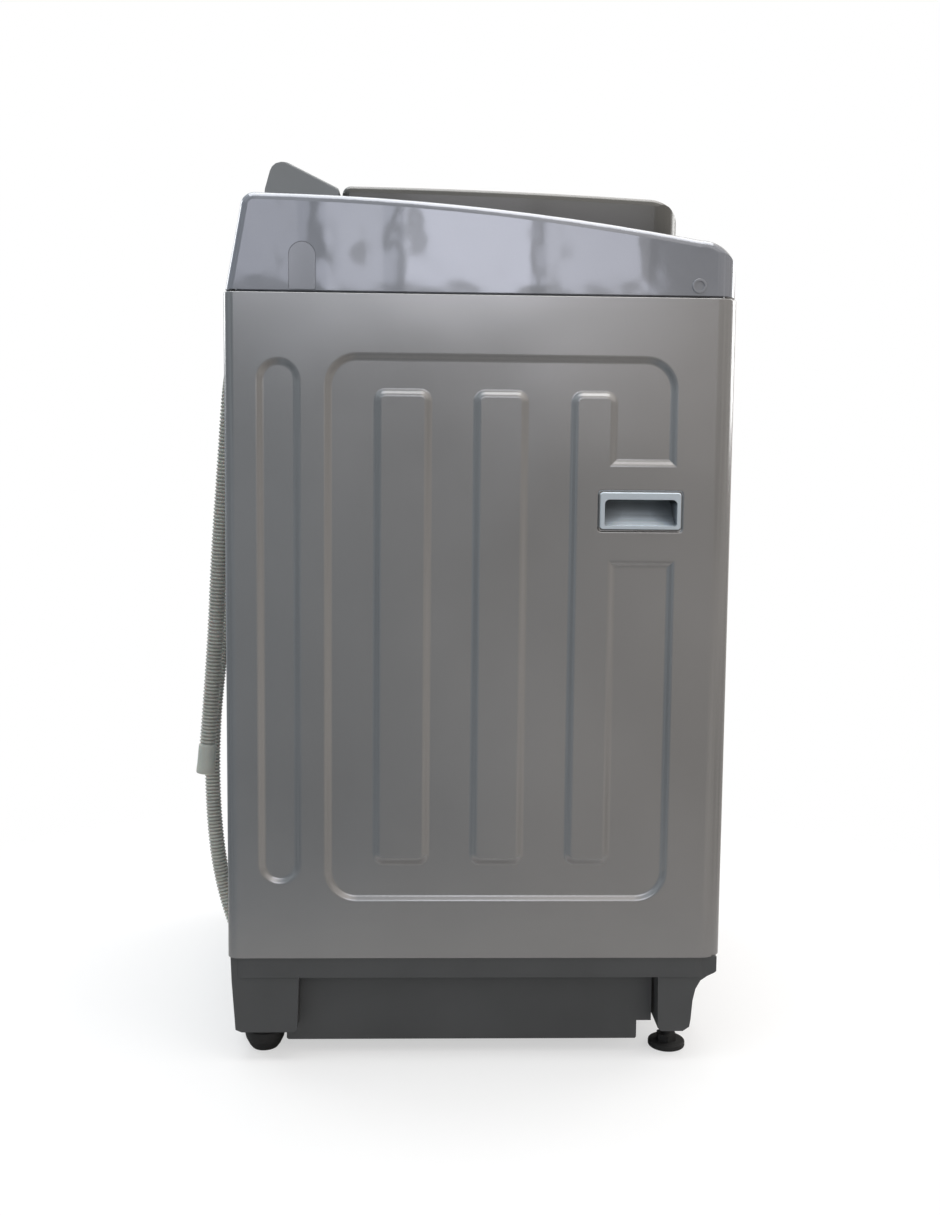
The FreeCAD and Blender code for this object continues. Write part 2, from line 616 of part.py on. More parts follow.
def lid_outline(g, x, drop):
    """Side outline of the lid's hood, moved inwards by g, with its foot lowered by drop."""
    r = BARREL_R - g
    top = [vec(x, u, z - g) for u, z in LID_TOP]
    rear_foot = vec(x, HINGE_U - r if drop else -150, 966 - drop)
    rear_low = vec(x, HINGE_U - r, HINGE_Z - 2.5)
    arc_start = vec(x, HINGE_U - r, HINGE_Z)
    arc_mid = vec(x, HINGE_U - r * math.sqrt(0.5), HINGE_Z + r * math.sqrt(0.5))
    nose = [vec(x, u - g * across, z - g * down)
            for u, z, across, down in ((206.2, 985.3, 0.35, 0.94), (217.7, 976.4, 0.7, 0.71),
                                       (221.6, 971.0, 0.88, 0.47), (LID_FRONT, 963.5, 1.0, 0.0))]
    front_foot_at = vec(x, LID_FRONT - g, 929 - drop)
    edges = [Part.makeLine(rear_foot, rear_low),
             Part.makeLine(rear_low, arc_start),
             Part.Arc(arc_start, arc_mid, top[0]).toShape(),
             Part.Arc(*top).toShape(),
             Part.Arc(top[2], nose[0], nose[1]).toShape(),
             Part.Arc(nose[1], nose[2], nose[3]).toShape(),
             Part.makeLine(nose[3], front_foot_at),
             Part.makeLine(front_foot_at, rear_foot)]
    return Part.Wire(edges)


def lid_outer():
    """The hood as one solid, with its long top edges rounded."""
    steps = 6
    sections = []
    for k in range(steps + 1):
        in_from_side = LID_ROUND * k / steps
        g = LID_ROUND - math.sqrt(LID_ROUND ** 2 - (LID_ROUND - in_from_side) ** 2)
        sections.append((in_from_side, g))
    left = [lid_outline(g, -LID_HALF + d, 0) for d, g in sections]
    right = [lid_outline(g, LID_HALF - d, 0) for d, g in reversed(sections)]
    return Part.makeLoft(left + right, True, True)


def glass_block(grow, drop0, drop1):
    """The window's volume between two depths under the lid's top curve."""
    (ua, za), (ub, zb), (uc, zc) = LID_TOP
    def arc(drop):
        return Part.Arc(vec(-LID_HALF, ua, za - drop), vec(-LID_HALF, ub, zb - drop),
                        vec(-LID_HALF, uc, zc - drop)).toShape()
    upper = arc(drop0)
    lower = arc(drop1)
    ends = [Part.makeLine(vec(-LID_HALF, ua, za - drop0), vec(-LID_HALF, ua, za - drop1)),
            Part.makeLine(vec(-LID_HALF, uc, zc - drop1), vec(-LID_HALF, uc, zc - drop0))]
    slab = Part.Face(Part.Wire(Part.__sortEdges__([upper, lower] + ends)))
    slab = slab.extrude(FreeCAD.Vector(2 * LID_HALF, 0, 0))
    return slab.common(plan_prism(172 + grow, -112 - grow, 168 + grow, 22, 40, 930, 1010))


def lid_frame():
    """The hood-shaped lid with a seat for its window and lugs for the hinge pins."""
    outer = lid_outer().common(plan_prism(LID_HALF, -180, LID_FRONT, 4, 30, 900, 1020))
    inner = Part.Face(lid_outline(LID_T, -LID_HALF, 30)).extrude(FreeCAD.Vector(2 * LID_HALF, 0, 0))
    inner = inner.common(plan_prism(LID_HALF - 5, -180, LID_FRONT - LID_T, 3, 27, 880, 1020))
    hood = outer.cut(inner)
    hood = hood.cut(box(-LID_HALF + 5, LID_HALF - 5, -165, HINGE_U, 930, HINGE_Z - 2.6))
    opening = glass_block(-8.0, -2, 9)
    ledge = glass_block(5.0, 1.5, 7.0).cut(opening)
    hood = hood.cut(opening).fuse(ledge).cut(glass_block(0.4, -1, 4.4))
    lugs = []
    for x0 in (188.0, 206.0, -195.4, -213.4):
        x1 = x0 + 7.4
        arm = rod_x(HINGE_U, HINGE_Z, x0, x1, 6.2)
        web = ((HINGE_U, 996.4), (-132, 997.4), (-132, 991.5), (HINGE_U, 984.0))
        arm = arm.fuse(side_prism(web, x0, x1))
        lugs.append(arm.cut(rod_x(HINGE_U, HINGE_Z, x0 - 1, x1 + 1, 2.56)))
    return join([hood] + lugs)


def lid_glass():
    return glass_block(0.0, 0.5, 4.3)


def lid_grip():
    """The finger lip under the lid's front edge."""
    root = LID_FRONT + 0.05
    lip = side_prism(((root, 946), (228, 942), (234.5, 935), (234.5, 931.5), (root, 931.5)), -62, 62)
    front = [e for e in lip.Edges if e.BoundBox.XLength > 100 and e.BoundBox.YMax < at(234)]
    return lip.makeFillet(1.2, front)


def lid_bumpers():
    pads = [rod_z(x, 206, pocket_floor(206) + 0.7, 931.5, 6) for x in (-180, 180)]
    return group(pads)


def lid_lock():
    """The lock under the rim, with its slotted mouth."""
    case = box(LID_LATCH_X - 28, LID_LATCH_X + 28, 188, 216, 868, 886)
    return case.cut(box(LID_LATCH_X - 6, LID_LATCH_X + 6, 197, 209, 874, 890))


# ---------------------------------------------------------------- handles and rear fittings
def cup_hollow(x):
    """The grip's hollow: a mouth with rounded corners, and a floor that rises towards the back."""
    u0, u1, z0, z1 = MOUTH
    floor = ((-4, z0), (0, z0), (6, z0 + 0.6), (13, z0 + 3), (20, z0 + 7), (27, z0 + 12.5), (33, z0 + 19),
             (38, z0 + 26), (40, z0 + 31.5))
    places = [FreeCAD.Vector(x + deep, at(u0), z) for deep, z in floor + ((-4, z0 + 31.5),)]
    scoop = Part.Face(Part.makePolygon(places + [places[0]])).extrude(FreeCAD.Vector(0, u0 - u1, 0))
    mouth = round_rect(u0, u1, z0, z1, (2.5, 2.5, 5.5, 5.5), lambda u, z: vec(x - 5, u, z))
    return scoop.common(Part.Face(mouth).extrude(FreeCAD.Vector(50, 0, 0)))


def carry_handle(side):
    """A pinch grip: a rim on the sheet and a closed cup behind it."""
    u0, u1, z0, z1 = HANDLE
    x = -HALF_W
    rim_plate = side_block(u0, u1, z0, z1, 3.5, x - 1.6, x + SEAT_DEEP - 0.05)
    rim_plate = rim_plate.makeFillet(1.3, [e for e in rim_plate.Edges if e.BoundBox.XMax < x - 1.5])
    cup = side_block(u0 + 3.1, u1 - 3.1, z0 + 3.1, z1 - 3.1, 2.6, x - 0.3, x + 43)
    body = join([rim_plate, cup]).cut(cup_hollow(x))
    return mirror(body) if side > 0 else body


def water_inlet_valve():
    """Twin solenoid valve with hot and cold threaded stubs."""
    parts = []
    for x in INLETS:
        stub = rod_back(x, INLET_Z, -228, 34, 13.2)
        parts.append(stub)
        parts.append(rod_back(x, INLET_Z, -215, 23.2, 17))
        parts.append(box(x - 15, x + 15, -212, -186, INLET_Z - 14, INLET_Z + 24))
    parts.append(box(INLETS[0] - 17, INLETS[1] + 17, -221, -208, INLET_Z - 17, INLET_Z + 12))
    valve = join(parts)
    for x in INLETS:
        valve = valve.cut(rod_back(x, INLET_Z, -245, 30, 9.5))
    return valve


def dispenser_housing():
    half, u0, u1, z0, z1 = DRAWER
    case = box(-half - 4, half + 4, u0 - 6, u1 - 3.2, z0 - 4, z1 + 4)
    return case.cut(box(-half - 1.2, half + 1.2, u0 - 2, u1 + 5, z0 - 1.2, z1 + 1.2))


def detergent_drawer():
    half, u0, u1, z0, z1 = DRAWER
    tray = box(-half, half, u0, u1, z0, z1)
    tray = tray.cut(box(-half + 2.4, -14, u0 + 2.4, u1 - 4, z0 + 2.4, z1 + 1))
    tray = tray.cut(box(-11.6, half - 2.4, u0 + 2.4, u1 - 4, z0 + 2.4, z1 + 1))
    front = [e for e in tray.Edges if e.BoundBox.YMax < at(u1) + 0.1 and e.BoundBox.YLength < 0.1]
    outer = [e for e in front if e.Length > 40]
    return tray.makeFillet(1.6, outer)


def pressure_sensor():
    disc = rod_back(-170, 925, -209, 16, 24)
    return join([disc, rod_back(-170, 925, -200, 10, 6), box(-180, -160, -222, -212, 940, 962)])


def hose_holder():
    """The hook on the back that the drain hose is hung over."""
    x0 = LOOP_X
    plate = box(x0 - 24, x0 + 24, -HALF_D - 2.2, -HALF_D - 0.05, 800, 858)
    arm = box(x0 - 17, x0 + 17, -HALF_D - REAR_OUT, -HALF_D - 1, 826.5, 830.5)
    lip = box(x0 - 17, x0 + 17, -HALF_D - REAR_OUT, -HALF_D - REAR_OUT + 2.6, 828, 842)
    web = side_prism(((-HALF_D - 1, 804), (-HALF_D - 1, 828), (-HALF_D - 26, 828)), x0 - 2, x0 + 2)
    return join([plate, arm, lip, web])


def power_cord_gland():
    """The blanked gland that a mains lead would come through."""
    flange = rod_back(GLAND_X, GLAND_Z, -HALF_D - 0.05, 3, 16)
    nose = Part.makeCone(10, 7.5, 14, vec(GLAND_X, -HALF_D - 3, GLAND_Z), Y_DIR)
    body = join([flange, nose, rod_back(GLAND_X, GLAND_Z, -HALF_D + 8, 8.5, 11)])
    return body.cut(rod_back(GLAND_X, GLAND_Z, -HALF_D + 9, 40, 3.8))


# ---------------------------------------------------------------- drain hose
# Places on the hose's line: x, distance behind the cabinet's back, height.
HOSE_ROUTE = ((-45, 20, 72), (-45, 41, 128), (-41, 56, 228), (-12, 62, 345), (28, 55, 460),
              (64, 44, 575), (88, 32, 680), (95, 22, 798), (-15, 18, 864), (-125, 15, 798),
              (-125, 23, 690), (-126, 31, 585), (-124, 37, 465), (-125, 47, 346))


def route_places():
    return [vec(x, -HALF_D - back, z) for x, back, z in HOSE_ROUTE]


def hose_line(places):
    """Straight runs joined by tangent arcs, each as large as its two runs allow."""
    edges = []
    here = places[0]
    length = 0.0
    for before, corner, after in zip(places, places[1:], places[2:]):
        a = (corner - before).normalize()
        b = (after - corner).normalize()
        turn = a.getAngle(b)
        shorter = min(before.distanceToPoint(corner), corner.distanceToPoint(after))
        radius = 0.45 * shorter / math.tan(turn / 2)
        back = 0.45 * shorter
        start = corner - a * back
        end = corner + b * back
        inward = (b - a).normalize()
        centre = corner + inward * (radius / math.cos(turn / 2))
        middle = centre - inward * radius
        print("hose corner", [round(c) for c in corner], "radius", round(radius), "turn",
              round(math.degrees(turn), 1))
        edges.append(Part.LineSegment(here, start).toShape())
        edges.append(Part.Arc(start, middle, end).toShape())
        here = end
    edges.append(Part.LineSegment(here, places[-1]).toShape())
    wire = Part.Wire(edges)
    return wire


def drain_hose():
    places = route_places()
    wire = hose_line(places)
    heading = places[1] - places[0]
    section = Part.Wire([Part.makeCircle(HOSE_D / 2, places[0], heading)])
    tube = wire.makePipeShell([section], True, False, 2)
    tube = Part.makeSolid(tube) if tube.ShapeType != "Solid" else tube
    print("hose length", round(wire.Length), "volume ratio",
          round(tube.Volume / (math.pi * HOSE_D ** 2 / 4 * wire.Length), 4))
    return tube


def drain_outlet():
    """The elbow on the base's back that the hose is clamped to."""
    places = route_places()
    heading = (places[1] - places[0]).normalize()
    root = places[0] - heading * 38
    spigot = Part.makeCylinder(11.6, 38, root, heading)
    collar = Part.makeCylinder(13.2, 9, places[0] - heading * 12, heading)
    x = HOSE_ROUTE[0][0]
    block = box(x - 15, x + 15, -HALF_D - 12, -HALF_D + 2.95, 30, 64)
    block = block.makeFillet(4, [e for e in block.Edges if e.BoundBox.YMin > at(-HALF_D) + 11])
    flange = box(x - 26, x + 26, -HALF_D - 1.8, -HALF_D + 2.95, 28, 84)
    inside = box(x - 60, x + 60, -HALF_D + 2.95, -HALF_D + 40, 0, 120)
    return join([spigot, collar, block, flange]).cut(inside)


def hose_end_cuff():
    """The plain rubber cuff on the hose's free end."""
    places = route_places()
    heading = (places[-1] - places[-2]).normalize()
    cuff = Part.makeCylinder(11.4, CUFF_LONG, places[-1], heading)
    return cuff.cut(Part.makeCylinder(8.6, CUFF_LONG, places[-1] + heading * 4, heading))


# ---------------------------------------------------------------- tub group
def outer_tub():
    shell = rod_z(0, 0, TUB_LOW, TUB_TOP, TUB_R).cut(rod_z(0, 0, TUB_LOW + 3, TUB_TOP + 1, TUB_R - 2.6))
    hoops = [ring_z(0, 0, z, z + 4, TUB_R + 3, TUB_R - 1) for z in (300, 420, 540, 660, 770)]
    shell = join([shell] + hoops)
    shell = shell.cut(rod_z(0, 0, TUB_LOW - 1, TUB_LOW + 4, 21.5))
    return shell.cut(rod_z(120, -90, TUB_LOW - 1, TUB_LOW + 4, 18))


def tub_cover():
    skirt = ring_z(0, 0, TUB_TOP, TUB_TOP + 22, TUB_R + 2.5, TUB_R - 0.4)
    plate = ring_z(0, 0, TUB_TOP + 18, TUB_TOP + 22, TUB_R + 2.5, 202)
    lip = ring_z(0, 0, TUB_TOP + 10, TUB_TOP + 19, 205, 202)
    return join([skirt, plate, lip])


def tub_bracket():
    """The steel plate under the tub, with an arm out to each suspension rod."""
    plate = box(-150, 150, -150, 150, TUB_LOW - 4, TUB_LOW)
    arms = []
    for turn in (45, 135, 225, 315):
        arm = box(120, 328, -22, 22, TUB_LOW - 4, TUB_LOW)
        arm.rotate(vec(0, 0, 0), Z_DIR, turn)
        arms.append(arm)
    bracket = join([plate] + arms)
    bracket = bracket.cut(rod_z(0, 0, 200, 300, 24))
    bracket = bracket.cut(rod_z(120, -90, 200, 300, 20))
    for x in (-ROD_AT, ROD_AT):
        for u in (-ROD_AT, ROD_AT):
            bracket = bracket.cut(rod_z(x, u, 200, 300, 8))
    return bracket


def suspension_cups():
    cups = []
    for x in (-ROD_AT, ROD_AT):
        for u in (-ROD_AT, ROD_AT):
            cup = rod_z(x, u, CUP_Z, TUB_LOW - 4, 20).cut(rod_z(x, u, 200, 300, 6.5))
            cups.append(cup)
    return group(cups)


def suspension_rods():
    """Four hanging rods, each with its ball head and lower seat."""
    rods = []
    for x in (-ROD_AT, ROD_AT):
        for u in (-ROD_AT, ROD_AT):
            rod = rod_z(x, u, SEAT_Z - 8, 862, 4)
            seat = rod_z(x, u, SEAT_Z - 4, SEAT_Z, 17)
            ball = Part.makeSphere(9, vec(x, u, 862))
            rods.append(join([rod, seat, ball]))
    return group(rods)


def suspension_brackets():
    """Corner hangers at the cabinet's top that the rods' heads sit in."""
    inside = plan_prism(HALF_W - SHEET_T, -HALF_D + 3, HALF_D - SHEET_T, 9, 23, 840, 860)
    hangers = []
    for sx in (-1, 1):
        for su in (-1, 1):
            x0, x1 = sorted((sx * 190, sx * 280))
            u0, u1 = sorted((su * 190, su * 277))
            plate = box(x0, x1, u0, u1, 846, 849).common(inside)
            hole = rod_z(sx * ROD_AT, su * ROD_AT, 840, 860, 6)
            hangers.append(plate.cut(hole))
    return group(hangers)


def suspension_springs():
    """Coil springs between the rods' seats and the tub's cups."""
    wire_r = 1.7
    coil_r = 12.0
    low = SEAT_Z + wire_r + 0.05
    high = CUP_Z - wire_r - 0.05
    helix = Part.makeHelix((high - low) / 5, high - low, coil_r)
    profile = Part.Wire([Part.makeCircle(wire_r, FreeCAD.Vector(coil_r, 0, 0), Y_DIR)])
    coil = Part.Wire(helix.Edges).makePipeShell([profile], True, True)
    springs = []
    for x in (-ROD_AT, ROD_AT):
        for u in (-ROD_AT, ROD_AT):
            spring = coil.copy()
            spring.translate(vec(x, u, low))
            springs.append(spring)
    return group(springs)


def gearbox():
    case = rod_z(0, 0, 162, TUB_LOW - 6, 68)
    case = case.fuse(rod_z(0, 0, TUB_LOW - 6, TUB_LOW - 0.2, 23))
    case = case.fuse(ring_z(0, 0, TUB_LOW - 12, TUB_LOW - 4.05, 84, 60))
    case = case.cut(rod_z(0, 0, 150, 270, 17.06))
    return case


def drive_motor():
    body = rod_z(0, 158, 168, 240, 52)
    ears = box(-62, 62, 148, 168, 240, TUB_LOW - 4.05)
    ribs = [ring_z(0, 158, z, z + 3, 54, 50) for z in range(176, 234, 8)]
    motor = join([body, ears] + ribs)
    return motor.cut(rod_z(0, 158, 150, 200, 7.06))


def drain_valve():
    body = rod_z(120, -90, 196, TUB_LOW + 2, 17.6)
    arm = box(112, 128, -150, -90, 205, 222)
    actuator = box(98, 142, -205, -150, 200, 236)
    return join([body, arm, actuator])


def grooved_pulley(u, r, height):
    wheel = rod_z(0, u, PULLEY_Z - height / 2, PULLEY_Z + height / 2, r + 3)
    groove = ring_z(0, u, PULLEY_Z - 5, PULLEY_Z + 5, r + 10, r - 3)
    return wheel.cut(groove)


def drive_pulley():
    wheel = grooved_pulley(0, DRIVE_R, 16)
    for k in range(5):
        turn = math.radians(72 * k)
        hole = rod_z(40 * math.cos(turn), 40 * math.sin(turn), 120, 156, 12)
        wheel = wheel.cut(hole)
    return join([wheel, rod_z(0, 0, PULLEY_Z - 8, 176, 12)])


def motor_pulley():
    wheel = grooved_pulley(158, MOTOR_R, 16)
    return join([wheel, rod_z(0, 158, PULLEY_Z - 8, 186, 7)])


def drive_belt():
    """A flat V-belt round both pulleys, drawn as a band that clears their grooves."""
    clear = 0.4
    thick = 5.0

    def loop(grow):
        near = DRIVE_R - 3 + clear + grow
        far = MOTOR_R - 3 + clear + grow
        lean = math.asin((near - far) / 158)
        parts = [rod_z(0, 0, PULLEY_Z - 4.2, PULLEY_Z + 4.2, near),
                 rod_z(0, 158, PULLEY_Z - 4.2, PULLEY_Z + 4.2, far)]
        c = math.cos(lean)
        s = math.sin(lean)
        corners = [(-near * c, near * s), (-far * c, 158 + far * s), (far * c, 158 + far * s),
                   (near * c, near * s)]
        places = [vec(x, u, PULLEY_Z - 4.2) for x, u in corners]
        web = Part.Face(Part.makePolygon(places + [places[0]])).extrude(FreeCAD.Vector(0, 0, 8.4))
        return join(parts + [web])

    return loop(thick).cut(loop(0))


# ---------------------------------------------------------------- basket and pulsator
def wash_basket():
    """The perforated stainless drum."""
    low = TUB_LOW + 20
    shell = rod_z(0, 0, low, 742, BASKET_R).cut(rod_z(0, 0, low + 2, 743, BASKET_R - 1.4))
    shell = shell.cut(rod_z(0, 0, low - 1, low + 3, 30))
    holes = []
    for row in range(9):
        for k in range(24):
            turn = 15 * k + (7.5 if row % 2 else 0)
            hole = Part.makeCylinder(2.6, 12, FreeCAD.Vector(BASKET_R - 6, 0, 340 + 44 * row), X_DIR)
            hole.rotate(FreeCAD.Vector(0, 0, 0), Z_DIR, turn)
            hole.translate(FreeCAD.Vector(0, at(0), 0))
            holes.append(hole)
    return shell.cut(group(holes))


def balance_ring():
    ring = ring_z(0, 0, 742, 795, 233, 190)
    return ring.makeFillet(6, [e for e in ring.Edges if e.BoundBox.ZMin > 794])


def lint_filters():
    """Two clip-in filter cases on the basket's wall."""
    cases = []
    for turn in (0, 180):
        case = box(-34, 34, 208, 229, 470, 640)
        case = case.cut(box(-28, 28, 200, 224, 480, 630))
        bars = [box(-30, 30, 208.5, 211, z, z + 5) for z in range(488, 628, 14)]
        case = join([case] + bars)
        case = case.common(rod_z(0, 0, 460, 650, BASKET_R - 1.5))
        case.rotate(vec(0, 0, 0), Z_DIR, turn)
        cases.append(case)
    return group(cases)


def spin_shaft():
    """The hollow shaft and flange that carry the basket."""
    tube = ring_z(0, 0, 178, TUB_LOW + 20, 17, 12.06)
    hub = ring_z(0, 0, TUB_LOW + 12, TUB_LOW + 20, 80, 12.06)
    return join([tube, hub])


def wash_shaft():
    return rod_z(0, 0, 182, 300, 12)


def pulsator():
    """The ribbed disc at the bottom of the basket, with six sweeping vanes."""
    disc = Part.makeCone(165, 150, 12, vec(0, 0, 288), Z_DIR)
    hub = Part.makeCone(62, 40, 26, vec(0, 0, 298), Z_DIR)
    vanes = []
    for k in range(6):
        vane = box(-7, 7, 34, 150, 296, 322).cut(side_prism(((150, 300), (150, 330), (60, 330)), -20, 20))
        vane.rotate(vec(0, 0, 0), Z_DIR, 60 * k)
        vanes.append(vane)
    body = join([disc, hub] + vanes)
    body = body.cut(rod_z(0, 0, 280, 300, 12.0))
    return body


def pulsator_cap():
    cap = rod_z(0, 0, 324, 330, 22)
    return cap.makeFillet(2, [e for e in cap.Edges if e.BoundBox.ZMin > 329])


NODES = {
    "cabinet_wrap": cabinet_wrap,
    "rear_panel": rear_panel,
    "rear_panel_screws": rear_panel_screws,
    "base_frame": base_frame,
    "base_side_skirts": base_side_skirts,
    "rear_feet": rear_feet,
    "top_housing": top_housing,
    "hinge_pins": hinge_pins,
    "front_screw_caps": front_screw_caps,
    "rear_screw_covers": rear_screw_covers,
    "console_shell": console_shell,
    "control_fascia": control_fascia,
    "display_window": display_window,
    "control_board": control_board,
    "lid_frame": lid_frame,
    "lid_glass": lid_glass,
    "lid_grip": lid_grip,
    "lid_bumpers": lid_bumpers,
    "lid_lock": lid_lock,
    "water_inlet_valve": water_inlet_valve,
    "dispenser_housing": dispenser_housing,
    "detergent_drawer": detergent_drawer,
    "pressure_sensor": pressure_sensor,
    "hose_holder": hose_holder,
    "power_cord_gland": power_cord_gland,
    "drain_outlet": drain_outlet,
    "drain_hose": drain_hose,
    "hose_end_cuff": hose_end_cuff,
    "outer_tub": outer_tub,
    "tub_cover": tub_cover,
    "tub_bracket": tub_bracket,
    "suspension_cups": suspension_cups,
    "suspension_rods": suspension_rods,
    "suspension_brackets": suspension_brackets,
    "suspension_springs": suspension_springs,
    "gearbox": gearbox,
    "drive_motor": drive_motor,
    "drain_valve": drain_valve,
    "drive_pulley": drive_pulley,
    "motor_pulley": motor_pulley,
    "drive_belt": drive_belt,
    "wash_basket": wash_basket,
    "balance_ring": balance_ring,
    "lint_filters": lint_filters,
    "spin_shaft": spin_shaft,
    "wash_shaft": wash_shaft,
    "pulsator": pulsator,
    "pulsator_cap": pulsator_cap,
}

for node, make in NODES.items():
    export(make(), node)

for name in BUTTONS:
    export(push_button(name), name)

for word, side in (("left", -1), ("right", 1)):
    export(front_foot(side), "front_foot_" + word)
    export(carry_handle(side), "carry_handle_" + word)
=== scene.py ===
import bpy, bmesh, json, math
from mathutils import Matrix, Vector


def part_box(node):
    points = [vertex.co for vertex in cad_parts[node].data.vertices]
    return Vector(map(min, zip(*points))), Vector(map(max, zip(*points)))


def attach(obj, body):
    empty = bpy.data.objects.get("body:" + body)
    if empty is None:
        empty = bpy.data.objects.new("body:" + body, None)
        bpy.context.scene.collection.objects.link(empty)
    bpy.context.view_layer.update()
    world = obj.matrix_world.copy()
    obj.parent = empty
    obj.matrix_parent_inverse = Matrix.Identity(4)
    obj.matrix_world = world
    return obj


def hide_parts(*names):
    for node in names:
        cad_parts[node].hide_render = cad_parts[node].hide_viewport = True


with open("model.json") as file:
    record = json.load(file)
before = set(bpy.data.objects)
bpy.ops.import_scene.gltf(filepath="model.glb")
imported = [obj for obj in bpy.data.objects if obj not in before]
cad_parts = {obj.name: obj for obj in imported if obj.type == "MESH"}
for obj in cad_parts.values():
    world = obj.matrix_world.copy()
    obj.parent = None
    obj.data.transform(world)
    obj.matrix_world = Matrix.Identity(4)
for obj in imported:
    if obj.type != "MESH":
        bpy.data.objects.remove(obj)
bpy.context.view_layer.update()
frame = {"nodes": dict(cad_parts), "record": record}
nodes = frame["nodes"]

MM = 0.001
wrap_low, wrap_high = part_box("cabinet_wrap")
HALF_W = wrap_high.x
BACK_Y = wrap_high.y
MID_Y = (wrap_low.y + wrap_high.y) / 2
BASE_H = wrap_low.z


# ---------------------------------------------------------------- camera
CAMERA_DISTANCE = 1.347                  # from the left side's plane
CAMERA_FORWARD = -0.0514                 # from the cabinet's middle towards its front
CAMERA_UP = 0.519                        # above the cabinet's lower edge
CAMERA_PITCH, CAMERA_YAW, CAMERA_ROLL = 5.05, 1.73, -0.56
LENS = 36.2


def make_camera():
    """Looks at the left side, a little downwards; +Z stays up and the front is on the right."""
    turn = (Matrix.Rotation(math.radians(CAMERA_ROLL), 3, "Z")
            @ Matrix.Rotation(math.radians(CAMERA_PITCH), 3, "X")
            @ Matrix.Rotation(math.radians(CAMERA_YAW), 3, "Y"))
    side_axes = Matrix(((0, 0, -1), (-1, 0, 0), (0, 1, 0)))
    data = bpy.data.cameras.new("camera")
    data.lens = LENS
    data.sensor_width = 36
    data.clip_start = 0.05
    camera = bpy.data.objects.new("camera", data)
    bpy.context.scene.collection.objects.link(camera)
    place = Vector((-HALF_W - CAMERA_DISTANCE, MID_Y - CAMERA_FORWARD, BASE_H + CAMERA_UP))
    camera.matrix_world = Matrix.Translation(place) @ (side_axes @ turn.transposed()).to_4x4()
    bpy.context.scene.camera = camera


make_camera()


# ---------------------------------------------------------------- mesh helpers
def link(name, mesh, smooth=True, sharp=35):
    """Adds a mesh to the scene; edges sharper than this many degrees stay sharp."""
    piece = bpy.data.objects.new(name, mesh)
    bpy.context.scene.collection.objects.link(piece)
    if smooth:
        mesh.shade_smooth()
        mesh.set_sharp_from_angle(angle=math.radians(sharp))
    return piece


def rings_mesh(name, rings, closed_loop=False):
    """A mesh through rings of equally many points: capped at both ends, or joined up into a loop."""
    mesh = bpy.data.meshes.new(name)
    count = len(rings[0])
    points = [p for ring in rings for p in ring]
    faces = []
    for i in range(len(rings) - (0 if closed_loop else 1)):
        a = i * count
        b = ((i + 1) % len(rings)) * count
        for k in range(count):
            after = (k + 1) % count
            faces.append((a + k, a + after, b + after, b + k))
    if not closed_loop:
        faces.append(tuple(reversed(range(count))))
        last = (len(rings) - 1) * count
        faces.append(tuple(range(last, last + count)))
    mesh.from_pydata([tuple(p) for p in points], [], faces)
    mesh.update()
    bm = bmesh.new()
    bm.from_mesh(mesh)
    bmesh.ops.recalc_face_normals(bm, faces=bm.faces)
    bm.to_mesh(mesh)
    bm.free()
    return mesh


def lathe(name, profile, centre, axis, sides=48):
    """Turns (along, radius) pairs about an axis through centre."""
    axis = Vector(axis).normalized()
    side = axis.orthogonal().normalized()
    up = axis.cross(side)
    rings = []
    for along, radius in profile:
        ring = []
        for k in range(sides):
            t = 2 * math.pi * k / sides
            ring.append(Vector(centre) + axis * along + (side * math.cos(t) + up * math.sin(t)) * radius)
        rings.append(ring)
    return link(name, rings_mesh(name, rings))


# ---------------------------------------------------------------- drain hose
HOSE_D = 20.5 * MM
# Control points of the hose's line: x, distance behind the cabinet's back, height, in millimetres.
HOSE_ROUTE = ((-45, 20, 63), (-45, 41, 119), (-41, 56, 219), (-12, 62, 336), (28, 55, 451),
              (64, 44, 566), (88, 32, 671), (95, 22, 789), (-15, 18, 855), (-125, 15, 789),
              (-125, 23, 681), (-126, 31, 576), (-124, 37, 456), (-125, 47, 337))
hose_points = [Vector((x * MM, BACK_Y + back * MM, z * MM)) for x, back, z in HOSE_ROUTE]


def spline_line(points):
    """Points along the NURBS curve that has these control points, read from the curve's own mesh."""
    data = bpy.data.curves.new("hose_line", "CURVE")
    data.dimensions = "3D"
    data.resolution_u = 40
    spline = data.splines.new("NURBS")
    spline.points.add(len(points) - 1)
    for p, place in zip(spline.points, points):
        p.co = (*place, 1)
    spline.order_u = 3
    spline.use_endpoint_u = True
    holder = bpy.data.objects.new("hose_line", data)
    bpy.context.scene.collection.objects.link(holder)
    bpy.context.view_layer.update()
    mesh = bpy.data.meshes.new_from_object(holder)
    line = [v.co.copy() for v in mesh.vertices]
    bpy.data.objects.remove(holder)
    bpy.data.meshes.remove(mesh)
    return line


def even_line(line, step):
    """The same line with points a fixed step apart."""
    lengths = [0.0]
    for a, b in zip(line, line[1:]):
        lengths.append(lengths[-1] + (b - a).length)
    total = lengths[-1]
    count = int(total / step)
    places = []
    i = 0
    for k in range(count + 1):
        want = total * k / count
        while i < len(line) - 2 and lengths[i + 1] < want:
            i += 1
        share = (want - lengths[i]) / max(lengths[i + 1] - lengths[i], 1e-9)
        places.append(line[i].lerp(line[i + 1], share))
    return places, total


CORRUGATION = 4.4 * MM
GROOVE_DEPTH = 1.9 * MM
CREST_SHAPE = 0.7                        # under 1 makes the crests wide and the valleys narrow
SLEEVE = 20 * MM                         # the plain length at the outlet
SLEEVE_UNDER = 0.1 * MM                  # how far the sleeve lies below the crests
RINGS_PER_WAVE = 6
HOSE_SIDES = 22


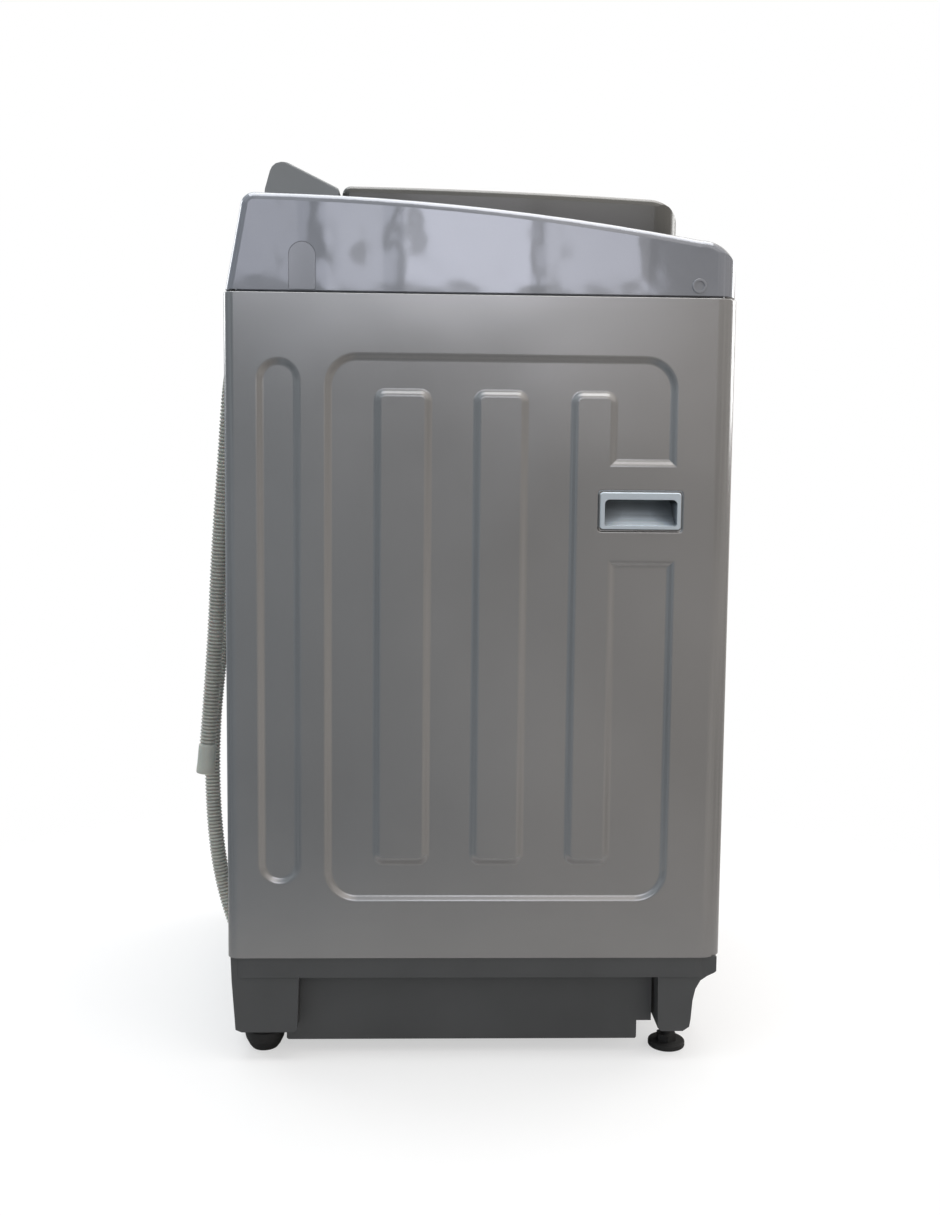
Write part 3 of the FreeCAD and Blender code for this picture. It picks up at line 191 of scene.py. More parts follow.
def corrugated_tube(name, places, total):
    """The hose: rounded crests and narrower valleys, with a plain sleeve where it is clamped."""
    heading = (places[1] - places[0]).normalized()
    side = heading.orthogonal().normalized()
    rings = []
    crests = []
    crest = HOSE_D / 2
    valley = crest - GROOVE_DEPTH
    step = total / (len(places) - 1)
    for i, place in enumerate(places):
        ahead = places[min(i + 1, len(places) - 1)]
        behind = places[max(i - 1, 0)]
        heading = (ahead - behind).normalized()
        side = (side - heading * side.dot(heading)).normalized()
        up = heading.cross(side)
        along = i * step
        wave = 0.5 + 0.5 * math.cos(2 * math.pi * along / CORRUGATION)
        radius = valley + (crest - valley) * wave ** CREST_SHAPE
        if along < SLEEVE:
            radius = crest - SLEEVE_UNDER
            wave = 1.0
        crests += [wave] * HOSE_SIDES
        ring = []
        for k in range(HOSE_SIDES):
            t = 2 * math.pi * k / HOSE_SIDES
            ring.append(place + (side * math.cos(t) + up * math.sin(t)) * radius)
        rings.append(ring)
    mesh = rings_mesh(name, rings)
    height = mesh.attributes.new("crest", "FLOAT", "POINT")
    height.data.foreach_set("value", crests)
    return link(name, mesh, sharp=80)


hose_places, hose_length = even_line(spline_line(hose_points), CORRUGATION / RINGS_PER_WAVE)
hose = corrugated_tube("hose_tube", hose_places, hose_length)
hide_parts("drain_hose")
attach(hose, "cabinet")


# Distance along the cuff and radius, in millimetres: the outside first, then the open mouth.
CUFF_PROFILE = ((-1.4, 9.3), (-0.9, 10.3), (0, 10.6), (2, 10.8), (9, 10.8), (15, 10.9), (24, 11.0),
                (27, 11.3), (30, 11.4), (33.5, 11.4), (34.6, 11.1), (35, 10.4), (34.8, 9.2), (33, 8.9),
                (6, 8.7), (5, 0.05))
END_POINTS = 12                          # how many of the hose's last points give its heading


def hose_cuff():
    """The moulded end cuff: a plain sleeve, a little wider at its open mouth."""
    end = hose_places[-1]
    heading = (end - hose_places[-END_POINTS]).normalized()
    piece = lathe("hose_cuff", [(a * MM, r * MM) for a, r in CUFF_PROFILE], end, heading, 40)
    height = piece.data.attributes.new("crest", "FLOAT", "POINT")
    height.data.foreach_set("value", [1.0] * len(piece.data.vertices))
    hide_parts("hose_end_cuff")
    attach(piece, "cabinet")
    return piece


cuff = hose_cuff()


# ---------------------------------------------------------------- small pieces
added = []


def owned(piece, body, skin):
    """Puts a small piece on its body, and notes it for its material."""
    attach(piece, body)
    added.append((piece, skin))


FASCIA_TILT = math.radians(25.64)
FASCIA_MIDDLE = Vector((0, MID_Y + 188 * MM, 997 * MM))
FASCIA_FRAME = Matrix.Translation(FASCIA_MIDDLE) @ Matrix.Rotation(FASCIA_TILT, 4, "X")


def dot(cx, cy, r, sides=20):
    """The outline of a small disc."""
    turns = [2 * math.pi * k / sides for k in range(sides)]
    return [(cx + r * math.cos(t), cy + r * math.sin(t)) for t in turns]


def bar(cx, cy, half_x, half_y):
    """The outline of a rectangle about its middle."""
    return [(cx - half_x, cy - half_y), (cx + half_x, cy - half_y), (cx + half_x, cy + half_y),
            (cx - half_x, cy + half_y)]


def arc_band(cx, cy, r, width, start, end, sides=18):
    """The outline of a part of a ring, with its angles in degrees."""
    turns = [math.radians(start + (end - start) * k / sides) for k in range(sides + 1)]
    outer = [(cx + (r + width / 2) * math.cos(t), cy + (r + width / 2) * math.sin(t)) for t in turns]
    inner = [(cx + (r - width / 2) * math.cos(t), cy + (r - width / 2) * math.sin(t)) for t in turns]
    return outer + inner[::-1]


def marks(name, outlines, base, height):
    """Thin raised shapes on the sloping fascia, from outlines in millimetres."""
    mesh = bpy.data.meshes.new(name)
    points = []
    faces = []
    for outline in outlines:
        first = len(points)
        count = len(outline)
        for level in (base, base + height):
            points += [FASCIA_FRAME @ Vector((x * MM, y * MM, level * MM)) for x, y in outline]
        faces.append(tuple(reversed(range(first, first + count))))
        faces.append(tuple(range(first + count, first + 2 * count)))
        for k in range(count):
            after = (k + 1) % count
            faces.append((first + k, first + after, first + count + after, first + count + k))
    mesh.from_pydata([tuple(p) for p in points], [], faces)
    mesh.update()
    return link(name, mesh, smooth=False)


# Places and sizes on the fascia, in millimetres from its middle.
PILLS = (-142, -104, -66, 66, 104, 142)  # the middles of the oblong buttons
ROUND_BUTTONS = (-186, 186)
DOT_Y, DOT_STEP, DOT_R = 13.2, 5, 1.1
LINE_Y, LINE_HALF = 17.0, (7, 0.35)
LAMP_Y, LAMP_STEP, LAMP_R = -13.4, 6, 1.2
RING_R, RING_LAMP_Y = 14.2, -17.6
DIAL_X, DIAL_R, DIAL_TICKS = -24, 9.2, 12
LOCK_X, LOCK_Y, LOCK_R = 31, 1, 5.5
# Levels above the sloping face that the marks start from, in millimetres.
PRINT_LEVEL = 0.28
LAMP_LEVEL = 0.2
DISPLAY_LEVEL = 0.08
BUTTON_LEVEL = 1.27


def fascia_print():
    """Plain symbols over the buttons and small lamps under them."""
    shapes = []
    lamps = []
    for i, x in enumerate(PILLS):
        shapes += [dot(x + DOT_STEP * (k - i % 3 / 2), DOT_Y, DOT_R) for k in range(i % 3 + 1)]
        shapes.append(bar(x, LINE_Y, *LINE_HALF))
        lamps += [dot(x + LAMP_STEP * k, LAMP_Y, LAMP_R) for k in (-1, 0, 1)]
    for x in ROUND_BUTTONS:
        shapes.append(arc_band(x, 0, RING_R, width=0.5, start=0, end=360, sides=48))
        lamps.append(dot(x, RING_LAMP_Y, LAMP_R))
    owned(marks("fascia_symbols", shapes, PRINT_LEVEL, height=0.06), "cabinet", "button_plastic")
    owned(marks("fascia_lamps", lamps, LAMP_LEVEL, height=0.35), "cabinet", "white_plastic")
    step = 360 / DIAL_TICKS
    dial = [arc_band(DIAL_X, 0, DIAL_R, 1.5, step * k + 4, step * k + 26, 5) for k in range(DIAL_TICKS)]
    dial += [bar(2 + 5.5 * k, -6.5 + 1.5 * k, 1.7, 2.0 + 1.5 * k) for k in range(4)]
    dial += [arc_band(LOCK_X, LOCK_Y, LOCK_R, 0.9, -60, 240, 20), bar(LOCK_X, 1.8, 0.5, 2.8)]
    owned(marks("display_symbols", dial, DISPLAY_LEVEL, height=0.05), "cabinet", "button_plastic")
    left, right = ROUND_BUTTONS
    power = [arc_band(left, 0, 4.2, 1.0, 125, 415, 26), bar(left, 3.6, 0.5, 2.6)]
    owned(marks("power_symbol", power, BUTTON_LEVEL, height=0.07), "power_button", "fascia_plastic")
    triangle = [(right - 4, -3.6), (right + 1, 0), (right - 4, 3.6)]
    start = [triangle, bar(188.6, 0, 0.6, 3.4), bar(191, 0, 0.6, 3.4)]
    owned(marks("start_symbol", start, BUTTON_LEVEL, height=0.07), "start_pause_button", "fascia_plastic")


# The spring band's section, in millimetres: distance along the hose, and height over its crests.
CLAMP_SECTION = ((-4, -0.3), (-4, 0.7), (-3.6, 1.0), (3.6, 1.0), (4, 0.7), (4, -0.3))
# One ear's profile: distance away from the band, and radius.
CLAMP_EAR = ((0, 0.4), (0.2, 2.0), (8, 2.0), (8.6, 1.2), (8.7, 0.05))
CLAMP_SPAN = 30                          # the band is in the middle of this many points


def hose_clamp():
    """A spring band on the hose over the outlet's spigot, with its two ears."""
    place = hose_places[0].lerp(hose_places[CLAMP_SPAN], 0.5)
    heading = (hose_places[CLAMP_SPAN] - hose_places[0]).normalized()
    r = HOSE_D / 2
    band = [(along * MM, r + rise * MM) for along, rise in CLAMP_SECTION]
    owned(lathe("hose_clamp_band", band, place, heading, 40), "cabinet", "zinc_steel")
    side = Vector((1, 0, 0))
    ear = [(along * MM, radius * MM) for along, radius in CLAMP_EAR]
    for word, shift in (("a", -2.4), ("b", 2.4)):
        foot = place + side * (r - 0.5 * MM) + Vector((0, shift * MM, 0))
        owned(lathe("hose_clamp_ear_" + word, ear, foot, side, 16), "cabinet", "zinc_steel")


STUBS = (("cold", 122, "blue_plastic"), ("hot", 168, "cap_plastic"))  # x, and the strainer's look
STUB_Z = 907 * MM
THREAD_BEHIND = 242 * MM                 # where the thread starts, behind the cabinet's middle
STRAINER_BEHIND = 256 * MM
THREAD_PITCH = 1.8
THREAD_TURNS = 10
CORE_R, CREST_R = 13.25, 13.9            # the thread's radii, in millimetres
THREAD_END = (19.2, 13.1)                # its length, and the radius that both ends sink to
# The strainer's rings: distance along the stub and radius, in millimetres.
STRAINER_RINGS = ((0, 0.05), (0, 2.0), (-1.2, 2.2), (-1.2, 4.6), (0, 4.8), (0, 6.6), (-1.2, 6.8),
                  (-1.2, 8.6), (0.6, 8.8), (0.6, 9.4), (-2, 9.45))


def inlet_threads():
    """The threads on both inlet stubs, and the strainers inside them."""
    for word, x, strainer in STUBS:
        centre = Vector((x * MM, MID_Y + THREAD_BEHIND, STUB_Z))
        profile = [(0, THREAD_END[1])]
        for k in range(THREAD_TURNS):
            start = THREAD_PITCH * k
            profile += [(start + 0.5, CORE_R), (start + 1.0, CREST_R), (start + 1.4, CREST_R),
                        (start + 1.9, CORE_R)]
        profile.append(THREAD_END)
        screw = lathe(word + "_inlet_thread", [(a * MM, r * MM) for a, r in profile], centre, (0, 1, 0), 48)
        owned(screw, "cabinet", "white_plastic")
        mouth = Vector((x * MM, MID_Y + STRAINER_BEHIND, STUB_Z))
        rings = [(a * MM, r * MM) for a, r in STRAINER_RINGS]
        owned(lathe(word + "_strainer", rings, mouth, (0, 1, 0), 36), "cabinet", strainer)


# Three places on the lid window's upper face: distance in front of the cabinet's middle, and height.
CROWN_PLACES = ((-146.5, 989.8), (22.0, 987.2), (187.0, 980.9))
# The printed border's edges: half width, rear and front end, and the rear and front corners' radius.
BORDER_OUTER = (171.5, -111.5, 167.5, 21.5, 39.5)
BORDER_INNER = (150, -90, 146, 14, 24)
BORDER_UPPER, BORDER_LOWER = 4.34, 4.37  # below the window's upper face, in millimetres


def lid_crown(u):
    """Height of the lid window's upper face at depth u, in millimetres."""
    (ua, za), (ub, zb), (uc, zc) = CROWN_PLACES
    rear = za * (u - ub) * (u - uc) / ((ua - ub) * (ua - uc))
    middle = zb * (u - ua) * (u - uc) / ((ub - ua) * (ub - uc))
    front = zc * (u - ua) * (u - ub) / ((uc - ua) * (uc - ub))
    return rear + middle + front


def rounded_loop(half, u0, u1, r_rear, r_front, sides=10):
    """Points (x, u) round a rectangle whose rear and front corners are rounded."""
    loop = []
    corners = ((half - r_front, u1 - r_front, r_front, 0),
               (-half + r_front, u1 - r_front, r_front, 90),
               (-half + r_rear, u0 + r_rear, r_rear, 180),
               (half - r_rear, u0 + r_rear, r_rear, 270))
    for cx, cu, r, start in corners:
        for k in range(sides + 1):
            t = math.radians(start + 90 * k / sides)
            loop.append((cx + r * math.cos(t), cu + r * math.sin(t)))
    return loop


def window_border():
    """The dark band printed on the underside of the lid's window, round its edge."""
    outer = rounded_loop(*BORDER_OUTER)
    inner = rounded_loop(*BORDER_INNER)
    rings = []
    for drop, loop in ((BORDER_UPPER, outer), (BORDER_UPPER, inner), (BORDER_LOWER, inner),
                       (BORDER_LOWER, outer)):
        rings.append([Vector((x * MM, MID_Y - u * MM, (lid_crown(u) - drop) * MM)) for x, u in loop])
    owned(link("window_border", rings_mesh("window_border", rings, closed_loop=True), sharp=20), "lid",
          "fascia_plastic")


fascia_print()
hose_clamp()
inlet_threads()
window_border()


# ---------------------------------------------------------------- materials
GRAIN_SHARE = 0.35                       # how much the fine grain adds to the soft clouds
GROOVE_PAINTED_SHADE = 0.42                      # painted shade: the colour at the bottom of the hose's valleys, as a share of the paint
GROOVE_LEAST = 0.34                      # the share of plain paint that stays there
PAINTED_CORNER_DARKNESS = 0.25                     # painted shade: how dark a deep corner gets, as a share of the paint


def shade(name, color, rough, metallic=0.0, coat=0.0, mottle=(6.0, 0.06), grain=(900.0, 0.00003),
          rough_spread=0.06, edge=0.0006, wave=None, groove_painted_shade=None, painted_corner_shade=0.0, painted_top_light=0.0, **sockets):
    """A surface with soft colour clouds, fine grain, uneven gloss and rounded edges.

    mottle is the clouds' scale and strength, and grain the fine bumps' scale and height.
    wave adds slow bumps, as scale and height. groove names a mesh value that is 0 in the
    grooves, where the colour is darkened as painted shade. shelter darkens corners within that
    distance as painted shade. skyward lightens what faces up and darkens what faces down, as painted light
    and shade. Other sockets are set by name.
    """
    mat = bpy.data.materials.new(name)
    mat.use_nodes = True
    tree = mat.node_tree
    new = tree.nodes.new
    link_up = tree.links.new
    shader = tree.nodes["Principled BSDF"]
    shader.inputs["Metallic"].default_value = metallic
    shader.inputs["Coat Weight"].default_value = coat
    shader.inputs["Coat Roughness"].default_value = 0.08
    for key, value in sockets.items():
        shader.inputs[key.replace("_", " ")].default_value = value
    coords = new("ShaderNodeTexCoord")
    clouds = new("ShaderNodeTexNoise")
    clouds.inputs["Scale"].default_value = mottle[0]
    clouds.inputs["Detail"].default_value = 5
    link_up(coords.outputs["Object"], clouds.inputs["Vector"])
    fine = new("ShaderNodeTexNoise")
    fine.inputs["Scale"].default_value = grain[0]
    fine.inputs["Detail"].default_value = 3
    link_up(coords.outputs["Object"], fine.inputs["Vector"])
    both = new("ShaderNodeMath")
    both.operation = "MULTIPLY_ADD"
    both.inputs[1].default_value = GRAIN_SHARE
    link_up(fine.outputs["Fac"], both.inputs[0])
    link_up(clouds.outputs["Fac"], both.inputs[2])
    ramp = new("ShaderNodeMapRange")
    ramp.inputs["From Min"].default_value = 0.35
    ramp.inputs["From Max"].default_value = 1.0
    link_up(both.outputs["Value"], ramp.inputs["Value"])
    mix = new("ShaderNodeMix")
    mix.data_type = "RGBA"
    amount = mottle[1]
    dark = [c * (1 - amount) for c in color]
    light = [min(1.0, c * (1 + amount)) for c in color]
    mix.inputs["A"].default_value = (*dark, 1)
    mix.inputs["B"].default_value = (*light, 1)
    link_up(ramp.outputs["Result"], mix.inputs["Factor"])
    paint = mix.outputs["Result"]
    # painted shade: the hose's valleys get a darker colour, standing in for the shade that falls in them
    if groove_painted_shade:
        height = new("ShaderNodeAttribute")
        height.attribute_name = groove_painted_shade
        shadow = new("ShaderNodeMapRange")
        shadow.inputs["To Min"].default_value = GROOVE_LEAST
        link_up(height.outputs["Fac"], shadow.inputs["Value"])
        groove_shaded_paint = new("ShaderNodeMix")
        groove_shaded_paint.data_type = "RGBA"
        groove_shaded_paint.inputs["A"].default_value = (*[c * GROOVE_PAINTED_SHADE for c in color], 1)
        link_up(shadow.outputs["Result"], groove_shaded_paint.inputs["Factor"])
        link_up(paint, groove_shaded_paint.inputs["B"])
        paint = groove_shaded_paint.outputs["Result"]
    # painted shade: corners and hollows within this reach get a darker colour, from ambient occlusion
    if painted_corner_shade:
        near = new("ShaderNodeAmbientOcclusion")
        near.samples = 6
        near.inputs["Distance"].default_value = painted_corner_shade
        depth = new("ShaderNodeMapRange")
        depth.inputs["From Min"].default_value = 0.35
        depth.inputs["From Max"].default_value = 0.95
        depth.inputs["To Min"].default_value = PAINTED_CORNER_DARKNESS
        link_up(near.outputs["AO"], depth.inputs["Value"])
        corner_shaded_paint = new("ShaderNodeVectorMath")
        corner_shaded_paint.operation = "SCALE"
        link_up(paint, corner_shaded_paint.inputs[0])
        link_up(depth.outputs["Result"], corner_shaded_paint.inputs["Scale"])
        paint = corner_shaded_paint.outputs["Vector"]
    # painted light and shade: faces turned up get a lighter colour, as if lit from above, and faces turned
    # down a darker one
    if painted_top_light:
        facing = new("ShaderNodeNewGeometry")
        split = new("ShaderNodeSeparateXYZ")
        link_up(facing.outputs["Normal"], split.inputs["Vector"])
        top_light_scale = new("ShaderNodeMapRange")
        top_light_scale.inputs["From Min"].default_value = -0.5
        top_light_scale.inputs["From Max"].default_value = 0.7
        top_light_scale.inputs["To Min"].default_value = 1.0 - painted_top_light / 2
        top_light_scale.inputs["To Max"].default_value = 1.0 + painted_top_light
        link_up(split.outputs["Z"], top_light_scale.inputs["Value"])
        top_lit_paint = new("ShaderNodeVectorMath")
        top_lit_paint.operation = "SCALE"
        link_up(paint, top_lit_paint.inputs[0])
        link_up(top_light_scale.outputs["Result"], top_lit_paint.inputs["Scale"])
        paint = top_lit_paint.outputs["Vector"]
    link_up(paint, shader.inputs["Base Color"])
    gloss = new("ShaderNodeMapRange")
    gloss.inputs["To Min"].default_value = max(0.02, rough - rough_spread)
    gloss.inputs["To Max"].default_value = rough + rough_spread
    link_up(both.outputs["Value"], gloss.inputs["Value"])
    link_up(gloss.outputs["Result"], shader.inputs["Roughness"])
    bump = new("ShaderNodeBump")
    bump.inputs["Distance"].default_value = grain[1]
    bump.inputs["Strength"].default_value = 1.0
    link_up(fine.outputs["Fac"], bump.inputs["Height"])
    last = bump
    if edge:
        bevel = new("ShaderNodeBevel")
        bevel.samples = 4
        bevel.inputs["Radius"].default_value = edge
        link_up(bevel.outputs["Normal"], bump.inputs["Normal"])
    if wave:
        slow = new("ShaderNodeTexNoise")
        slow.inputs["Scale"].default_value = wave[0]
        slow.inputs["Detail"].default_value = 1.5
        link_up(coords.outputs["Object"], slow.inputs["Vector"])
        swell = new("ShaderNodeBump")
        swell.inputs["Distance"].default_value = wave[1]
        link_up(slow.outputs["Fac"], swell.inputs["Height"])
        link_up(bump.outputs["Normal"], swell.inputs["Normal"])
        last = swell
    link_up(last.outputs["Normal"], shader.inputs["Normal"])
    return mat


def glass(name, color, rough=0.02):
    """Tinted glass with a faint unevenness."""
    return shade(name, color, rough, mottle=(9.0, 0.10), grain=(30.0, 0.00001), rough_spread=0.01,
                 edge=0, Transmission_Weight=1.0, IOR=1.45)


SKINS = {
    "silver_sheet": shade("silver_sheet", (0.365, 0.365, 0.368), 0.22, metallic=0.92, coat=0.25,
                          mottle=(3.5, 0.10), grain=(1400.0, 0.000006), wave=(4.0, 0.0034), edge=0.0008),
    "rear_sheet": shade("rear_sheet", (0.42, 0.43, 0.44), 0.38, metallic=0.9, mottle=(26.0, 0.16),
                        grain=(300.0, 0.00002), rough_spread=0.12),
    "housing_plastic": shade("housing_plastic", (0.272, 0.286, 0.322), 0.06, metallic=0.35, coat=0.9,
                             mottle=(5.0, 0.05), grain=(700.0, 0.000003), wave=(14.0, 0.0013), edge=0.0008,
                             rough_spread=0.02, Coat_Roughness=0.03),
    "console_plastic": shade("console_plastic", (0.212, 0.224, 0.232), 0.42, coat=0.1, mottle=(8.0, 0.06),
                             grain=(1100.0, 0.00004)),
    "fascia_plastic": shade("fascia_plastic", (0.018, 0.019, 0.024), 0.12, coat=1.0, mottle=(5.0, 0.15),
                            grain=(900.0, 0.000004), rough_spread=0.05),
    "window_glass": shade("window_glass", (0.008, 0.010, 0.014), 0.05, coat=1.0, mottle=(9.0, 0.2),
                          grain=(60.0, 0.000004), rough_spread=0.02),
    "button_plastic": shade("button_plastic", (0.46, 0.47, 0.50), 0.24, metallic=0.55, coat=0.4,
                            mottle=(30.0, 0.05), grain=(1500.0, 0.00001)),
    "board": shade("board", (0.02, 0.12, 0.045), 0.35, coat=0.3, mottle=(80.0, 0.35), grain=(500.0, 0.00006)),
    # painted shade darkens the lid's low parts near the housing's rim
    "lid_plastic": shade("lid_plastic", (0.108, 0.106, 0.098), 0.22, metallic=0.15, coat=0.35,
                         mottle=(6.0, 0.06), grain=(900.0, 0.00001), wave=(6.0, 0.0006), edge=0.0010,
                         painted_corner_shade=0.05),
    "lid_window": glass("lid_window", (0.42, 0.385, 0.35)),
    "grip_plastic": shade("grip_plastic", (0.40, 0.41, 0.44), 0.22, metallic=0.6, coat=0.4,
                          mottle=(20.0, 0.06), grain=(1200.0, 0.00001)),
    "base_plastic": shade("base_plastic", (0.056, 0.058, 0.060), 0.50, mottle=(11.0, 0.14),
                          grain=(1300.0, 0.00009), rough_spread=0.10),
    "black_rubber": shade("black_rubber", (0.016, 0.016, 0.016), 0.72, mottle=(40.0, 0.35),
                          grain=(700.0, 0.00010), rough_spread=0.12),
    # painted shade in the handle's hollow, with painted light on faces that turn up and painted shade on
    # faces that turn down
    "handle_plastic": shade("handle_plastic", (0.40, 0.445, 0.485), 0.26, coat=0.45,
                            mottle=(14.0, 0.05), grain=(1200.0, 0.00004), painted_corner_shade=0.026, painted_top_light=2.2),
    "cap_plastic": shade("cap_plastic", (0.275, 0.287, 0.317), 0.12, metallic=0.35, coat=0.9,
                         mottle=(6.0, 0.05), grain=(700.0, 0.000006), rough_spread=0.04, edge=0.0005),
    # painted shade in the hose's valleys, driven by its crest value
    "hose_plastic": shade("hose_plastic", (0.50, 0.505, 0.455), 0.46, mottle=(16.0, 0.14),
                          grain=(600.0, 0.00006), edge=0, groove_painted_shade="crest", Subsurface_Weight=0.08),
    "white_plastic": shade("white_plastic", (0.66, 0.66, 0.63), 0.40, mottle=(12.0, 0.05),
                           grain=(1000.0, 0.00004)),
    "tub_plastic": shade("tub_plastic", (0.44, 0.45, 0.44), 0.46, mottle=(9.0, 0.07), grain=(800.0, 0.00006)),
    "zinc_steel": shade("zinc_steel", (0.46, 0.45, 0.41), 0.34, metallic=0.95, mottle=(60.0, 0.16),
                        grain=(900.0, 0.00003), rough_spread=0.12),
    "stainless": shade("stainless", (0.56, 0.56, 0.56), 0.24, metallic=1.0, mottle=(14.0, 0.06),
                       grain=(1100.0, 0.00002), rough_spread=0.08, edge=0),
    "cast_alloy": shade("cast_alloy", (0.42, 0.42, 0.42), 0.48, metallic=0.9, mottle=(35.0, 0.14),
                        grain=(420.0, 0.00012), rough_spread=0.12),
    "motor_steel": shade("motor_steel", (0.03, 0.032, 0.035), 0.36, metallic=0.3, mottle=(22.0, 0.2),
                         grain=(800.0, 0.00005)),
    "blue_plastic": shade("blue_plastic", (0.16, 0.27, 0.42), 0.42, mottle=(16.0, 0.08),
                          grain=(900.0, 0.00005)),
}


def dress(piece, skin, sharp=30):
    """Gives a piece its material; edges sharper than this many degrees stay sharp."""
    piece.data.materials.clear()
    piece.data.materials.append(SKINS[skin])
    piece.data.shade_smooth()
    piece.data.set_sharp_from_angle(angle=math.radians(sharp))


for row in frame["record"]["subparts"]:
    dress(nodes[row["node"]], row["material_slot"])
for piece in (hose, cuff):
    dress(piece, "hose_plastic", sharp=80)
for piece, skin in added:
    dress(piece, skin, sharp=40)


# ---------------------------------------------------------------- stage, light
FLOOR_REACH = 4.0
FLOOR_Z = -0.0003                        # just under the feet
FADE_START, FADE_END = 0.45, 1.05        # distances from the middle
GLOW_SHARE = 0.55                        # how much of the floor the camera sees as plain white
FLOOR_IN_MIRROR = (0.42, 0.41, 0.40, 1)


def make_stage():
    """A pale floor that takes the contact shadow and fades away into the white surround.

    Part of what the camera sees of it is plain white, and shiny surfaces see a dull grey floor.
    """
    mesh = bpy.data.meshes.new("floor")
    reach = FLOOR_REACH
    mesh.from_pydata([(-reach, -reach, FLOOR_Z), (reach, -reach, FLOOR_Z), (reach, reach, FLOOR_Z),
                      (-reach, reach, FLOOR_Z)], [], [(0, 1, 2, 3)])
    floor = link("floor", mesh, smooth=False)
    paint = shade("floor_paint", (0.93, 0.93, 0.93), 0.8, mottle=(1.2, 0.01), grain=(60.0, 0.0001), edge=0)
    tree = paint.node_tree
    coords = tree.nodes.new("ShaderNodeTexCoord")
    distance = tree.nodes.new("ShaderNodeVectorMath")
    distance.operation = "LENGTH"
    tree.links.new(coords.outputs["Object"], distance.inputs[0])
    fade = tree.nodes.new("ShaderNodeMapRange")
    fade.interpolation_type = "SMOOTHSTEP"
    fade.inputs["From Min"].default_value = FADE_START
    fade.inputs["From Max"].default_value = FADE_END
    tree.links.new(distance.outputs["Value"], fade.inputs["Value"])
    path = tree.nodes.new("ShaderNodeLightPath")
    glow = tree.nodes.new("ShaderNodeEmission")
    pale = tree.nodes.new("ShaderNodeMixShader")
    share = tree.nodes.new("ShaderNodeMath")
    share.operation = "MULTIPLY"
    share.inputs[1].default_value = GLOW_SHARE
    tree.links.new(path.outputs["Is Camera Ray"], share.inputs[0])
    tree.links.new(share.outputs["Value"], pale.inputs["Fac"])
    tree.links.new(tree.nodes["Principled BSDF"].outputs["BSDF"], pale.inputs[1])
    tree.links.new(glow.outputs["Emission"], pale.inputs[2])
    dull = tree.nodes.new("ShaderNodeBsdfDiffuse")
    dull.inputs["Color"].default_value = FLOOR_IN_MIRROR
    mirrored = tree.nodes.new("ShaderNodeMixShader")
    tree.links.new(path.outputs["Is Glossy Ray"], mirrored.inputs["Fac"])
    tree.links.new(pale.outputs["Shader"], mirrored.inputs[1])
    tree.links.new(dull.outputs["BSDF"], mirrored.inputs[2])
    clear = tree.nodes.new("ShaderNodeBsdfTransparent")
    mix = tree.nodes.new("ShaderNodeMixShader")
    tree.links.new(fade.outputs["Result"], mix.inputs["Fac"])
    tree.links.new(mirrored.outputs["Shader"], mix.inputs[1])
    tree.links.new(clear.outputs["BSDF"], mix.inputs[2])
    tree.links.new(mix.outputs["Shader"], tree.nodes["Material Output"].inputs["Surface"])
    floor.data.materials.append(paint)


def make_light(name, place, aim, size, power, tint=(1, 1, 1), mirrored=True):
    """A rectangular lamp; one that isn't mirrored stays out of shiny surfaces."""
    data = bpy.data.lights.new(name, "AREA")
    data.shape = "RECTANGLE"
    data.size, data.size_y = size
    data.energy = power
    data.color = tint
    lamp = bpy.data.objects.new(name, data)
    lamp.location = place
    lamp.visible_glossy = mirrored
    lamp.rotation_euler = (Vector(aim) - Vector(place)).to_track_quat("-Z", "Y").to_euler()
    bpy.context.scene.collection.objects.link(lamp)


SKY_STOPS = ((0.0, 0.28), (0.40, 0.36), (0.50, 0.42), (0.62, 0.50), (1.0, 1.0))  # height, brightness
FRONT_TINT = (1.27, 1.20, 1.13, 1)
REAR_TINT = (0.82, 0.89, 0.95, 1)
TINT_TURN = 0.22                         # the tint changes over this much on both sides of the middle
PATCH_SCALE = 5.5
PATCH_DIM, PATCH_BRIGHT = 0.62, 1.38
SKY_STRENGTH = 0.95


